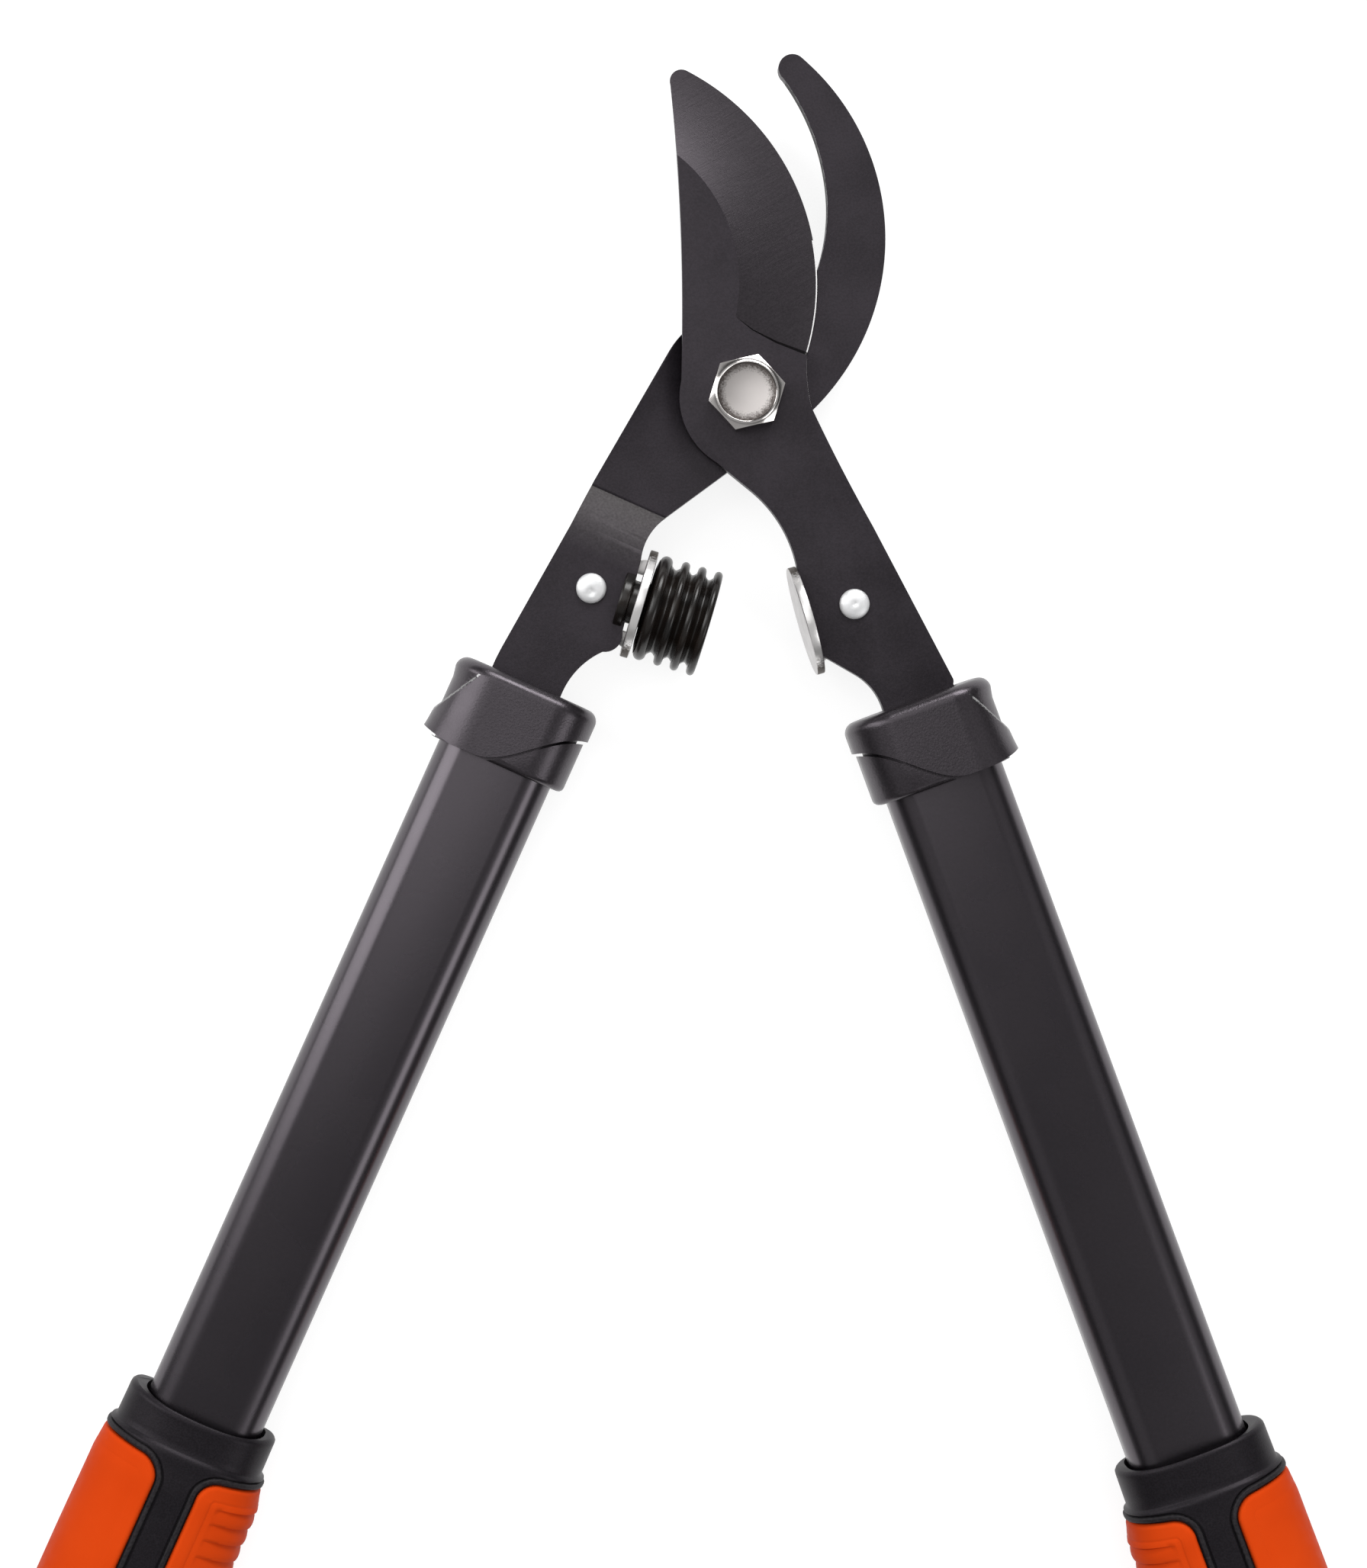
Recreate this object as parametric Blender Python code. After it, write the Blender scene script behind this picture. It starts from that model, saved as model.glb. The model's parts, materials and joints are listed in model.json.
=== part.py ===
# Bypass lopper, lying flat with its blades open, modelled in metres.
# +Z is the pivot axis with the bolt head on top, +Y runs towards the tip of
# the cutting blade, and the origin is under the middle of the bounding box.
#
# The tool has two halves that turn on one bolt. Each half is drawn in its own
# frame, with the pivot at (0, 0) and its handle running down -Y, under an
# empty on the pivot axis that turns the half to its angle. The handles are
# mirror images, so their pieces are drawn once in a bench frame (x towards
# the outer side, y = -station, z = 0 on the tube's axis) and then flipped.

import math

import bmesh
import bpy
from mathutils import Matrix, Vector

for leftover in list(bpy.data.objects):
    bpy.data.objects.remove(leftover, do_unlink=True)

# Fits
CLEARANCE = 0.0003           # between pieces that touch

# Pose of the two halves, as turns about the pivot
HOOK_HALF_ANGLE = math.radians(-24.1)
BLADE_HALF_ANGLE = math.radians(20.1)

# Plates: the blade lies on the hook, and both tangs lie in the blade's plane
PLATE_THICKNESS = 0.0042
BLADE_BASE = CLEARANCE / 2
HOOK_BASE = -CLEARANCE / 2 - PLATE_THICKNESS
TANG_MIDDLE = BLADE_BASE + PLATE_THICKNESS / 2

# Cutting edge and its hollow grind, both turned about one centre
EDGE_CENTRE = Vector((-0.0304, 0.0408))
EDGE_RADIUS = 0.0607
EDGE_TIP_ANGLE = math.radians(42.8)
EDGE_HEEL_ANGLE = math.radians(-37.5)
EDGE_LAND = 0.0006           # thickness left at the cutting edge
GRIND_WIDTH = 0.0198
GRIND_HOLLOW = 0.0004        # how far the ground face dips below a flat one

# Hook jaw
HOOK_CENTRE = Vector((-0.0386, 0.0261))
HOOK_RADIUS = 0.0600
HOOK_TIP = Vector((-0.0238, 0.0770))   # where the inner edge meets the round tip
HOOK_CHAMFER = 0.0013
BOSS_RADIUS = 0.0222
BOSS_ANGLE = math.radians(174)

# Joggle that lifts the hook's tang into the plane of the blade
JOGGLE_START = 0.0364
JOGGLE_LENGTH = 0.0110
JOGGLE_RISE = PLATE_THICKNESS + CLEARANCE

# Pivot bolt, washer and lock nut
BOLT_DIAMETER = 0.0100
HEAD_WIDTH = 0.0170
HEAD_HEIGHT = 0.0055
HEAD_TURN = math.radians(37.1)   # of one corner, from the x axis of its half
HEAD_RECESS = 0.0147         # diameter of the dished middle of the head
RECESS_STEP = 0.0003         # at the rim of the dish
RECESS_DEPTH = 0.0007
WASHER_DIAMETER = 0.0210
WASHER_THICKNESS = 0.0016
NUT_HEIGHT = 0.0058
NUT_COLLAR_DIAMETER = 0.0150
NUT_COLLAR_HEIGHT = 0.0022
LOCK_RING_WALL = 0.0013
BOLT_STICK_OUT = 0.0002      # past the end of the nut

# Tang, below the mouth of the ferrule
TANG_WIDTH = 0.0187
TANG_SHIFT = 0.0012          # tang's middle, outwards from the tube's axis
TANG_END = 0.1480

# Rivets and the brackets that they hold on the back of the tangs
RIVET_SHANK = 0.0045
RIVET_HEAD = 0.0076
RIVET_DOME = 0.0017
BUMPER_RIVET_AT = Vector((-0.0155, -0.0604))
STRIKE_RIVET_AT = Vector((0.0074, -0.0589))
BRACKET_THICKNESS = 0.0022
BRACKET_DISC = 0.0278
BRACKET_LEG_WIDTH = 0.0130   # at the rivet
BRACKET_ROOT_WIDTH = 0.0240  # at the disc

# Strike disc: middle of the face that the bumper meets, and its lean
STRIKE_AT = Vector((-0.0064, -0.0585))
STRIKE_LEAN = math.radians(4.2)

# Rubber bumper: middle of the disc that carries it, and the lean of its axis
BUMPER_AT = Vector((-0.0029, -0.0590))
BUMPER_LEAN = math.radians(7.4)
BUMPER_DIAMETER = 0.0271
BUMPER_CORE = 0.0212
BUMPER_BASE_FLANGE = 0.0032
BUMPER_FLANGE = 0.0020
BUMPER_PITCH = 0.0043
BUMPER_FLANGES = 3           # thin flanges beyond the base flange
BUMPER_NECK = 0.0110
BUMPER_TAIL = 0.0142
BUMPER_TAIL_THICKNESS = 0.0025
BUMPER_TAIL_GAP = 0.0016     # neck that shows between disc and tail

# Handle tubes: flat-sided ovals, offset from the pivot to their outer sides
HOOK_TUBE_OFFSET = -0.0196
BLADE_TUBE_OFFSET = 0.0133
TUBE_WIDTH = 0.0304
TUBE_DEPTH = 0.0190
TUBE_CORNER = 0.0075
TUBE_WALL = 0.0012
TUBE_END = 0.4400

# Ferrule over the top of the tube
FERRULE_TOP = 0.0886
FERRULE_ROOF = 0.0034
FERRULE_SLEEVE_WALL = 0.0028
FERRULE_CAP_STEP = 0.0008    # how far the cap stands out past the sleeve
FERRULE_CAP_LENGTH = 0.0074  # on the inner side, above the wave
FERRULE_WAVE_DROP = 0.0143
FERRULE_SLEEVE_LENGTH = 0.0218
FERRULE_EDGE_ROUND = 0.0030
FERRULE_FLARE = 0.0015
FERRULE_FLARE_LENGTH = 0.0085
SLOT_MARGIN = 0.0010         # slot in the roof, past each edge of the tang

# Plug round the tang inside the tube, and the pin through all of them
INSERT_TOP_GAP = 0.0010
INSERT_LENGTH = 0.0500
TUBE_PIN_DIAMETER = 0.0050
TUBE_PIN_AT = 0.0120         # below the top of the tube

# Grips
HOOK_GRIP_TOP = 0.2876
BLADE_GRIP_TOP = 0.2857      # this one is pushed a little further up its tube
MOUTH_SIDE_GAP = 0.0008      # between the tube and the sides of the collar's mouth
MOUTH_FACE_GAP = 0.0026      # in front of the tube and behind it
MOUTH_SQUARENESS = 2.8
GRIP_MOUTH_DEPTH = 0.0070
HOOK_MOUTH_DIP = 0.0018      # the rim lies lower in front and behind than at the sides
BLADE_MOUTH_DIP = 0.0006
COLLAR_WIDTH = 0.0393
COLLAR_DEPTH = 0.0270
COLLAR_LENGTH = 0.0098
COLLAR_SHIFT = 0.0005        # collar's middle, outwards from the tube's axis
GRIP_WIDTH = 0.0444
GRIP_DEPTH = 0.0330
GRIP_LENGTH = 0.1680
BUTT_WIDTH = 0.0500
BUTT_LENGTH = 0.0240
GRIP_SQUARENESS = 2.35       # exponent of the oval sections

# Soft pads let into both sides of a grip
PAD_TOP = 0.0132             # below the top of the grip, at its side
PAD_DIP = 0.0009             # lower than that beside the strip
PAD_DIP_START = 0.0205       # from the tube's axis
PAD_LENGTH = 0.1276
PAD_THICKNESS = 0.0024
PAD_PROUD = 0.0004           # above the skin of the core
PAD_CORNER = 0.0052
STRIP_OUTER = 0.0042         # edge of the outer pad from the tube's axis
STRIP_INNER = 0.0071
RIB_COUNT = 19
RIB_PITCH = 0.0044
RIB_DEPTH = 0.0009
RIB_START = 0.0056           # below the top of the pad

# Roundness
TURN_STEPS = 26
SMALL_TURN_STEPS = 18
OVAL_STEPS = 24
CORNER_STEPS = 4


def principled(name, colour, roughness, metallic=0.0):
    """A material with a plain Principled surface."""
    material = bpy.data.materials.new(name)
    material.use_nodes = True
    shader = material.node_tree.nodes["Principled BSDF"]
    shader.inputs["Base Color"].default_value = (*colour, 1.0)
    shader.inputs["Roughness"].default_value = roughness
    shader.inputs["Metallic"].default_value = metallic
    material.diffuse_color = (*colour, 1.0)
    return material


def blade_coating():
    return principled("blade_coating", (0.022, 0.020, 0.024), 0.42, 0.3)


def bright_nickel():
    return principled("bright_nickel", (0.66, 0.61, 0.57), 0.22, 1.0)


def zinc_plate():
    return principled("zinc_plate", (0.52, 0.50, 0.49), 0.34, 1.0)


def rivet_aluminium():
    return principled("rivet_aluminium", (0.72, 0.73, 0.74), 0.36, 1.0)


def bumper_rubber():
    return principled("bumper_rubber", (0.012, 0.011, 0.010), 0.48)


def lock_nylon():
    return principled("lock_nylon", (0.12, 0.16, 0.30), 0.5)


def moulded_black():
    return principled("moulded_black", (0.020, 0.019, 0.022), 0.55)


def tube_paint():
    return principled("tube_paint", (0.016, 0.015, 0.018), 0.36)


def pad_orange():
    return principled("pad_orange", (0.76, 0.085, 0.010), 0.6)


def bare_steel():
    return principled("bare_steel", (0.42, 0.41, 0.40), 0.38, 1.0)


# Shared drawing tools

def arc(start, middle, end, steps):
    """Points after start, up to end, on the circle through all three."""
    a, b, c = Vector(start), Vector(middle), Vector(end)
    ab, ac = b - a, c - a
    cross = 2 * (ab.x * ac.y - ab.y * ac.x)
    offset = Vector((ac.y * ab.length_squared - ab.y * ac.length_squared,
                     ab.x * ac.length_squared - ac.x * ab.length_squared)) / cross
    centre = a + offset
    first = math.atan2(a.y - centre.y, a.x - centre.x)
    sweep = math.atan2(c.y - centre.y, c.x - centre.x) - first
    if cross > 0 and sweep < 0:
        sweep += math.tau
    if cross < 0 and sweep > 0:
        sweep -= math.tau
    radius = offset.length
    angles = [first + sweep * step / steps for step in range(1, steps + 1)]
    return [centre + radius * Vector((math.cos(t), math.sin(t))) for t in angles]


def circle_arc(centre, radius, first, last, steps):
    """Points of an arc about a centre, both ends included."""
    angles = [first + (last - first) * step / steps for step in range(steps + 1)]
    return [centre + radius * Vector((math.cos(t), math.sin(t))) for t in angles]


def flat_face(shape, outline, height=0.0):
    """One face with the given outline, in a bmesh."""
    corners = [shape.verts.new((point[0], point[1], height)) for point in outline]
    return shape.faces.new(corners)


def prism(outline, bottom, top):
    """A bmesh of an outline in XY, extruded from bottom to top."""
    shape = bmesh.new()
    face = flat_face(shape, outline, bottom)
    grown = bmesh.ops.extrude_face_region(shape, geom=[face])["geom"]
    risen = [item for item in grown if isinstance(item, bmesh.types.BMVert)]
    bmesh.ops.translate(shape, verts=risen, vec=(0, 0, top - bottom))
    bmesh.ops.recalc_face_normals(shape, faces=shape.faces)
    return shape


def turned(profile, steps=TURN_STEPS):
    """A bmesh of a profile of (radius, height) points, spun about Z."""
    shape = bmesh.new()
    points = [shape.verts.new((radius, 0, height)) for radius, height in profile]
    edges = [shape.edges.new(pair) for pair in zip(points, points[1:])]
    bmesh.ops.spin(shape, geom=points + edges, cent=(0, 0, 0), axis=(0, 0, 1),
                   angle=math.tau, steps=steps, use_merge=True)
    bmesh.ops.remove_doubles(shape, verts=shape.verts, dist=1e-6)
    bmesh.ops.recalc_face_normals(shape, faces=shape.faces)
    return shape


def cylinder(radius, bottom, top, steps=TURN_STEPS):
    return turned([(0, bottom), (radius, bottom), (radius, top), (0, top)], steps)


def lofted(rings, open_bore=False):
    """A bmesh through rings of points: capped, or closed on itself as a tube."""
    shape = bmesh.new()
    loops = [[shape.verts.new(point) for point in ring] for ring in rings]
    pairs = list(zip(loops, loops[1:]))
    if open_bore:
        pairs.append((loops[-1], loops[0]))
    else:
        shape.faces.new(loops[0])
        shape.faces.new(loops[-1])
    for lower, upper in pairs:
        for side in range(len(lower)):
            shape.faces.new((lower[side - 1], lower[side], upper[side], upper[side - 1]))
    bmesh.ops.recalc_face_normals(shape, faces=shape.faces)
    bmesh.ops.triangulate(shape, faces=[face for face in shape.faces if len(face.verts) == 4])
    return shape


def rounded_ring(half_width, half_depth, corner, station, inset=0.0):
    """Ring of a flat-sided oval across a handle at one station."""
    radius = max(corner - inset, 0.0005)
    across = half_width - inset - radius
    along = half_depth - inset - radius
    ring = []
    for quarter, (side, face) in enumerate(((1, 1), (-1, 1), (-1, -1), (1, -1))):
        for step in range(CORNER_STEPS + 1):
            angle = (quarter + step / CORNER_STEPS) * math.pi / 2
            ring.append((side * across + radius * math.cos(angle), -station,
                         face * along + radius * math.sin(angle)))
    return ring


class Half:
    """One half of the tool: its empty on the pivot, and the side it faces."""

    def __init__(self, name, angle, outward, tube_offset, grip_top, mouth_dip):
        self.outward = outward
        self.tube_offset = tube_offset
        self.grip_top = grip_top
        self.mouth_dip = mouth_dip
        self.empty = bpy.data.objects.new(name, None)
        self.empty.rotation_euler = (0, 0, angle)
        self.empty.parent = pivot
        bpy.context.collection.objects.link(self.empty)

    def from_bench(self, shape):
        """Move a handle piece from the bench frame onto this half."""
        matrix = Matrix.Translation((self.tube_offset, 0, TANG_MIDDLE))
        matrix = matrix @ Matrix.Diagonal((self.outward, 1, 1, 1))
        bmesh.ops.transform(shape, matrix=matrix, verts=shape.verts)
        if self.outward < 0:
            bmesh.ops.reverse_faces(shape, faces=shape.faces)
        return shape


def add(name, shape, half, material=None, smooth_angle=35):
    """Make an object of a bmesh; without a material it is a cutter."""
    mesh = bpy.data.meshes.new(name)
    shape.to_mesh(mesh)
    shape.free()
    mesh.shade_smooth()
    mesh.set_sharp_from_angle(angle=math.radians(smooth_angle))
    piece = bpy.data.objects.new(name, mesh)
    piece.parent = half.empty
    bpy.context.collection.objects.link(piece)
    if material:
        mesh.materials.append(material)
    else:
        piece.hide_render = True
        piece.display_type = "WIRE"
    return piece


def boolean(piece, other, operation="DIFFERENCE"):
    modifier = piece.modifiers.new(operation.lower(), "BOOLEAN")
    modifier.operation = operation
    modifier.object = other
    modifier.solver = "EXACT"


def cut_hole(piece, half, centre, diameter, bottom, top):
    """Drill a round hole along Z through a piece."""
    drill = cylinder(diameter / 2, bottom, top, SMALL_TURN_STEPS)
    bmesh.ops.translate(drill, verts=drill.verts, vec=(centre[0], centre[1], 0))
    boolean(piece, add(piece.name + "_drill", drill, half))


def leaning(angle, along_x, along_y=0.0):
    """A vector in a frame turned by an angle about Z."""
    return Matrix.Rotation(angle, 2) @ Vector((along_x, along_y))


def tang_edges(half):
    """Inner and outer x of the tang, in the half's frame."""
    middle = half.tube_offset + half.outward * TANG_SHIFT
    reach = half.outward * TANG_WIDTH / 2
    return middle - reach, middle + reach


# Blade half

def blade_outline(half):
    """Outline from the tip along the edge, down the tang and up the back."""
    inner, outer = tang_edges(half)
    edge = circle_arc(EDGE_CENTRE, EDGE_RADIUS, EDGE_TIP_ANGLE, EDGE_HEEL_ANGLE, 26)
    seat = STRIKE_AT + leaning(-STRIKE_LEAN, BRACKET_THICKNESS + CLEARANCE)
    seat_top = seat + leaning(-STRIKE_LEAN, 0, 0.0130)
    seat_foot = seat + leaning(-STRIKE_LEAN, 0, -0.0095)
    outline = list(edge)
    outline += arc(edge[-1], (0.0154, -0.0028), (0.0143, -0.0089), 5)
    outline += arc(outline[-1], (0.0159, -0.0240), (0.0185, -0.0421), 4)
    outline += [Vector((outer + 0.0004, -0.0846)), Vector((outer, -0.0862))]
    outline += [Vector((outer, -TANG_END + 0.003)), Vector((outer - 0.003, -TANG_END))]
    outline += [Vector((inner + 0.003, -TANG_END)), Vector((inner, -TANG_END + 0.003))]
    outline += [Vector((inner, -0.0862))]
    outline += arc(outline[-1], (0.0036, -0.0786), (0.0017, -0.0757), 5)
    outline += [seat_foot, seat_top]
    outline += arc(seat_top, (-0.0034, -0.0323), (-0.0076, -0.0224), 7)
    outline += [Vector((-0.0129, -0.0135))]
    outline += arc(outline[-1], (-0.01705, -0.0025), (-0.0140, 0.0088), 8)
    outline += arc(outline[-1], (-0.0010, 0.0446), (0.0092, 0.0800), 12)
    outline += arc(outline[-1], (0.0108, 0.0825), edge[0], 5)[:-1]
    return outline


def grinding_cut(half):
    """Ring about the edge's centre that grinds the hollow face and its step."""
    shape = bmesh.new()
    inner_radius = EDGE_RADIUS - GRIND_WIDTH
    top = BLADE_BASE + PLATE_THICKNESS
    low = BLADE_BASE + EDGE_LAND
    above = top + 0.004
    beyond = EDGE_RADIUS + 0.004
    sag = [(inner_radius + GRIND_WIDTH * t,
            top + (low - top) * t - 4 * GRIND_HOLLOW * t * (1 - t))
           for t in (0, 0.25, 0.5, 0.75, 1)]
    profile = sag + [(beyond, low - GRIND_HOLLOW), (beyond, above), (inner_radius, above)]
    centre = Vector((*EDGE_CENTRE, 0))
    corners = [shape.verts.new(centre + Vector((radius, 0, height))) for radius, height in profile]
    shape.faces.new(corners)
    start = Matrix.Rotation(math.radians(-62), 3, "Z")
    bmesh.ops.rotate(shape, cent=centre, matrix=start, verts=shape.verts)
    bmesh.ops.spin(shape, geom=shape.verts[:] + shape.edges[:] + shape.faces[:],
                   cent=centre, axis=(0, 0, 1), angle=math.radians(152), steps=30)
    bmesh.ops.recalc_face_normals(shape, faces=shape.faces)
    step_line = ((0.0039, 0.0196), (0.0070, 0.0144), (0.0114, 0.0094), (0.0179, 0.0036))
    for start_at, end_at in zip(step_line, step_line[1:]):
        run = Vector(end_at) - Vector(start_at)
        cut = bmesh.ops.bisect_plane(
            shape, geom=shape.verts[:] + shape.edges[:] + shape.faces[:],
            plane_co=(*start_at, 0), plane_no=(-run.y, run.x, 0), clear_inner=True)
        rim = [item for item in cut["geom_cut"] if isinstance(item, bmesh.types.BMEdge)]
        bmesh.ops.holes_fill(shape, edges=rim)
    bmesh.ops.recalc_face_normals(shape, faces=shape.faces)
    return add("grinding_cut", shape, half)


def cutting_blade(half):
    top = BLADE_BASE + PLATE_THICKNESS
    blade = add("cutting_blade", prism(blade_outline(half), BLADE_BASE, top), half,
                blade_coating())
    boolean(blade, grinding_cut(half))
    drill_tang(blade, half, BLADE_BASE, top, STRIKE_RIVET_AT)


def drill_tang(plate, half, bottom, top, rivet_at):
    """Holes for the pivot bolt, the rivet and the pin in the tube."""
    low, high = min(bottom, BLADE_BASE) - 0.001, top + 0.001
    cut_hole(plate, half, (0, 0), BOLT_DIAMETER + 2 * CLEARANCE, low, high)
    cut_hole(plate, half, rivet_at, RIVET_SHANK + 2 * CLEARANCE, low, high)
    cut_hole(plate, half, pin_place(half), TUBE_PIN_DIAMETER + 2 * CLEARANCE, low, high)


# Hook half

def hook_outline(half):
    """Outline from the inner side of the tip, round the outer edge and back."""
    inner, outer = tang_edges(half)
    boss = circle_arc(Vector((0, 0)), BOSS_RADIUS, BOSS_ANGLE, math.radians(93), 12)
    tip_inner, tip_outer = HOOK_TIP, Vector((-0.0217, 0.0837))
    outline = [tip_inner]
    outline += arc(tip_inner, (-0.0262, 0.0814), tip_outer, 6)
    first = math.atan2(*reversed(tip_outer - HOOK_CENTRE))
    outline += circle_arc(HOOK_CENTRE, HOOK_RADIUS, first, math.radians(-37.7), 24)[1:]
    outline += [Vector((-0.0057, -0.0362))]
    outline += arc(outline[-1], (-0.00774, -0.0438), (-0.0070, -0.0488), 5)
    outline += [Vector((-0.0039, -0.0671))]
    outline += arc(outline[-1], (-0.0034, -0.0706), (-0.0064, -0.0737), 4)
    outline += arc(outline[-1], (-0.0104, -0.0806), (inner, -0.0880), 5)
    outline += [Vector((inner, -TANG_END + 0.003)), Vector((inner - 0.003, -TANG_END))]
    outline += [Vector((outer + 0.003, -TANG_END)), Vector((outer, -TANG_END + 0.003))]
    outline += [Vector((outer, -0.0862)), Vector((-0.0300, -0.0834)), Vector((-0.0267, -0.0477)),
                Vector((-0.0260, -0.0352))]
    outline += boss
    outline += arc(boss[-1], (0.0020, 0.0243), (0.0039, 0.0294), 4)
    return outline


def hook_inner_edge(start):
    """Concave inner edge of the jaw, from the boss up to the tip."""
    lower = arc(start, (0.0029, 0.0417), (-0.0038, 0.0579), 9)
    upper = arc(lower[-1], (-0.0130, 0.0690), HOOK_TIP, 8)
    return lower + upper[:-1]


def lift(station):
    """Height of the joggle at a station along the tang."""
    run = (station - JOGGLE_START) / JOGGLE_LENGTH
    knots = ((0.0, 0.0), (0.60, 0.78), (0.80, 0.94), (1.0, 1.0))
    if run <= 0:
        return 0.0
    for (a, low), (b, high) in zip(knots, knots[1:]):
        if run <= b:
            return JOGGLE_RISE * (low + (high - low) * (run - a) / (b - a))
    return JOGGLE_RISE


def hook_plate(half):
    outline = hook_outline(half)
    inner_edge = hook_inner_edge(outline[-1])
    shape = prism(outline + inner_edge, HOOK_BASE, HOOK_BASE + PLATE_THICKNESS)
    for knot in (0.0, 0.60, 0.80, 1.0):
        bmesh.ops.bisect_plane(
            shape, geom=shape.verts[:] + shape.edges[:] + shape.faces[:],
            plane_co=(0, -JOGGLE_START - JOGGLE_LENGTH * knot, 0), plane_no=(0, 1, 0))
    for vert in shape.verts:
        vert.co.z += lift(-vert.co.y)
    chamfer_jaw(shape, inner_edge)
    plate = add("hook_plate", shape, half, blade_coating())
    top = TANG_MIDDLE + PLATE_THICKNESS / 2
    boolean(plate, tail_slot(half, "tail_notch", 0.004, HOOK_BASE, top + 0.001))
    drill_tang(plate, half, HOOK_BASE, top, BUMPER_RIVET_AT)


def chamfer_jaw(shape, inner_edge):
    """Chamfer the front of the jaw's inner edge."""
    front = HOOK_BASE + PLATE_THICKNESS
    places = {(round(p.x, 6), round(p.y, 6)) for p in inner_edge}
    chosen = [edge for edge in shape.edges
              if all(abs(v.co.z - front) < 1e-6
                     and (round(v.co.x, 6), round(v.co.y, 6)) in places for v in edge.verts)]
    bmesh.ops.bevel(shape, geom=chosen, offset=HOOK_CHAMFER, offset_type="OFFSET",
                    segments=1, profile=0.5, affect="EDGES", material=-1,
                    clamp_overlap=True)


# Bumper and strike brackets

def across_tool(shape, at, lean):
    """Lay a shape that was turned about Z along an axis across the handle."""
    matrix = Matrix.Translation((at[0], at[1], TANG_MIDDLE))
    matrix = matrix @ Matrix.Rotation(lean, 4, "Z") @ Matrix.Rotation(math.pi / 2, 4, "Y")
    bmesh.ops.transform(shape, matrix=matrix, verts=shape.verts)
    return shape


def bracket(name, half, at, lean, rivet_at, hole=0.0):
    """Disc across the handle on a leg that is riveted behind the tang."""
    low, high = -BRACKET_THICKNESS / 2, BRACKET_THICKNESS / 2
    disc = across_tool(cylinder(BRACKET_DISC / 2, low, high), at, lean)
    piece = add(name, disc, half, zinc_plate())
    run = rivet_at - at
    toward = math.atan2(run.y, run.x)
    end = circle_arc(rivet_at, BRACKET_LEG_WIDTH / 2, toward - math.pi / 2,
                     toward + math.pi / 2, 12)
    root_side = leaning(lean, 0, BRACKET_ROOT_WIDTH / 2)
    if root_side.dot(leaning(toward, 0, 1)) < 0:
        root_side = -root_side
    leg_top = BLADE_BASE - CLEARANCE
    leg_base = leg_top - BRACKET_THICKNESS
    leg = add(name + "_leg", prism(end + [at + root_side, at - root_side], leg_base, leg_top), half)
    if hole:
        boolean(leg, tail_slot(half, name + "_slot", 0.0005, leg_base - 0.001, leg_top + 0.001))
    boolean(piece, leg, "UNION")
    cut_hole(piece, half, rivet_at, RIVET_SHANK + 2 * CLEARANCE, leg_base - 0.001, leg_top + 0.001)
    if hole:
        drill = across_tool(cylinder(hole / 2, low - 0.0005, high + 0.0005), at, lean)
        boolean(piece, add(name + "_bore", drill, half))


def rivet(name, half, at):
    """Rivet with a domed head in front and a flatter one behind the leg."""
    front = TANG_MIDDLE + PLATE_THICKNESS / 2 + CLEARANCE
    back = BLADE_BASE - 2 * CLEARANCE - BRACKET_THICKNESS
    shank, head = RIVET_SHANK / 2, RIVET_HEAD / 2
    dome = [(head * math.cos(t), front + 0.0003 + (RIVET_DOME - 0.0003) * math.sin(t))
            for t in (0.0, 0.45, 0.9, 1.3)]
    profile = [(0, back - 0.0012), (head * 0.7, back - 0.0011), (head, back - 0.0004),
               (head, back), (shank, back), (shank, front), (head, front)]
    profile += dome + [(0, front + RIVET_DOME)]
    shape = turned(profile, SMALL_TURN_STEPS)
    bmesh.ops.translate(shape, verts=shape.verts, vec=(at[0], at[1], 0))
    add(name, shape, half, rivet_aluminium())


def bumper_profile():
    """Half section of the bumper along its axis, from the tail to the end."""
    core, rim = BUMPER_CORE / 2, BUMPER_DIAMETER / 2
    disc = BRACKET_THICKNESS / 2 + CLEARANCE
    tail_face = -BRACKET_THICKNESS / 2 - BUMPER_TAIL_GAP
    tail_end = tail_face - BUMPER_TAIL_THICKNESS
    tail = BUMPER_TAIL / 2
    profile = [(0, tail_end), (tail - 0.0006, tail_end), (tail, tail_end + 0.0006),
               (tail, tail_face - 0.0004), (tail - 0.0004, tail_face),
               (BUMPER_NECK / 2, tail_face), (BUMPER_NECK / 2, disc), (core - 0.001, disc)]
    base = disc + 0.0006
    ring = BUMPER_BASE_FLANGE
    profile += [(rim - 0.0010, base), (rim, base + ring * 0.35), (rim, base + ring * 0.7),
                (rim - 0.0008, base + ring), (rim - 0.0015, base + ring)]
    flange_end = base + ring
    for count in range(BUMPER_FLANGES):
        start = base + ring + BUMPER_PITCH * (count + 1) - BUMPER_FLANGE
        half_flange = BUMPER_FLANGE / 2
        profile += [(core, (flange_end + start) / 2), (rim - 0.0015, start),
                    (rim - 0.0006, start), (rim, start + half_flange * 0.6),
                    (rim, start + half_flange * 1.4), (rim - 0.0006, start + BUMPER_FLANGE)]
        flange_end = start + BUMPER_FLANGE
        if count < BUMPER_FLANGES - 1:
            profile.append((rim - 0.0015, flange_end))
    profile.append((0, flange_end))
    return profile


def rubber_bumper(half):
    shape = across_tool(turned(bumper_profile()), BUMPER_AT, BUMPER_LEAN)
    add("rubber_bumper", shape, half, bumper_rubber(), 50)


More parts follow.
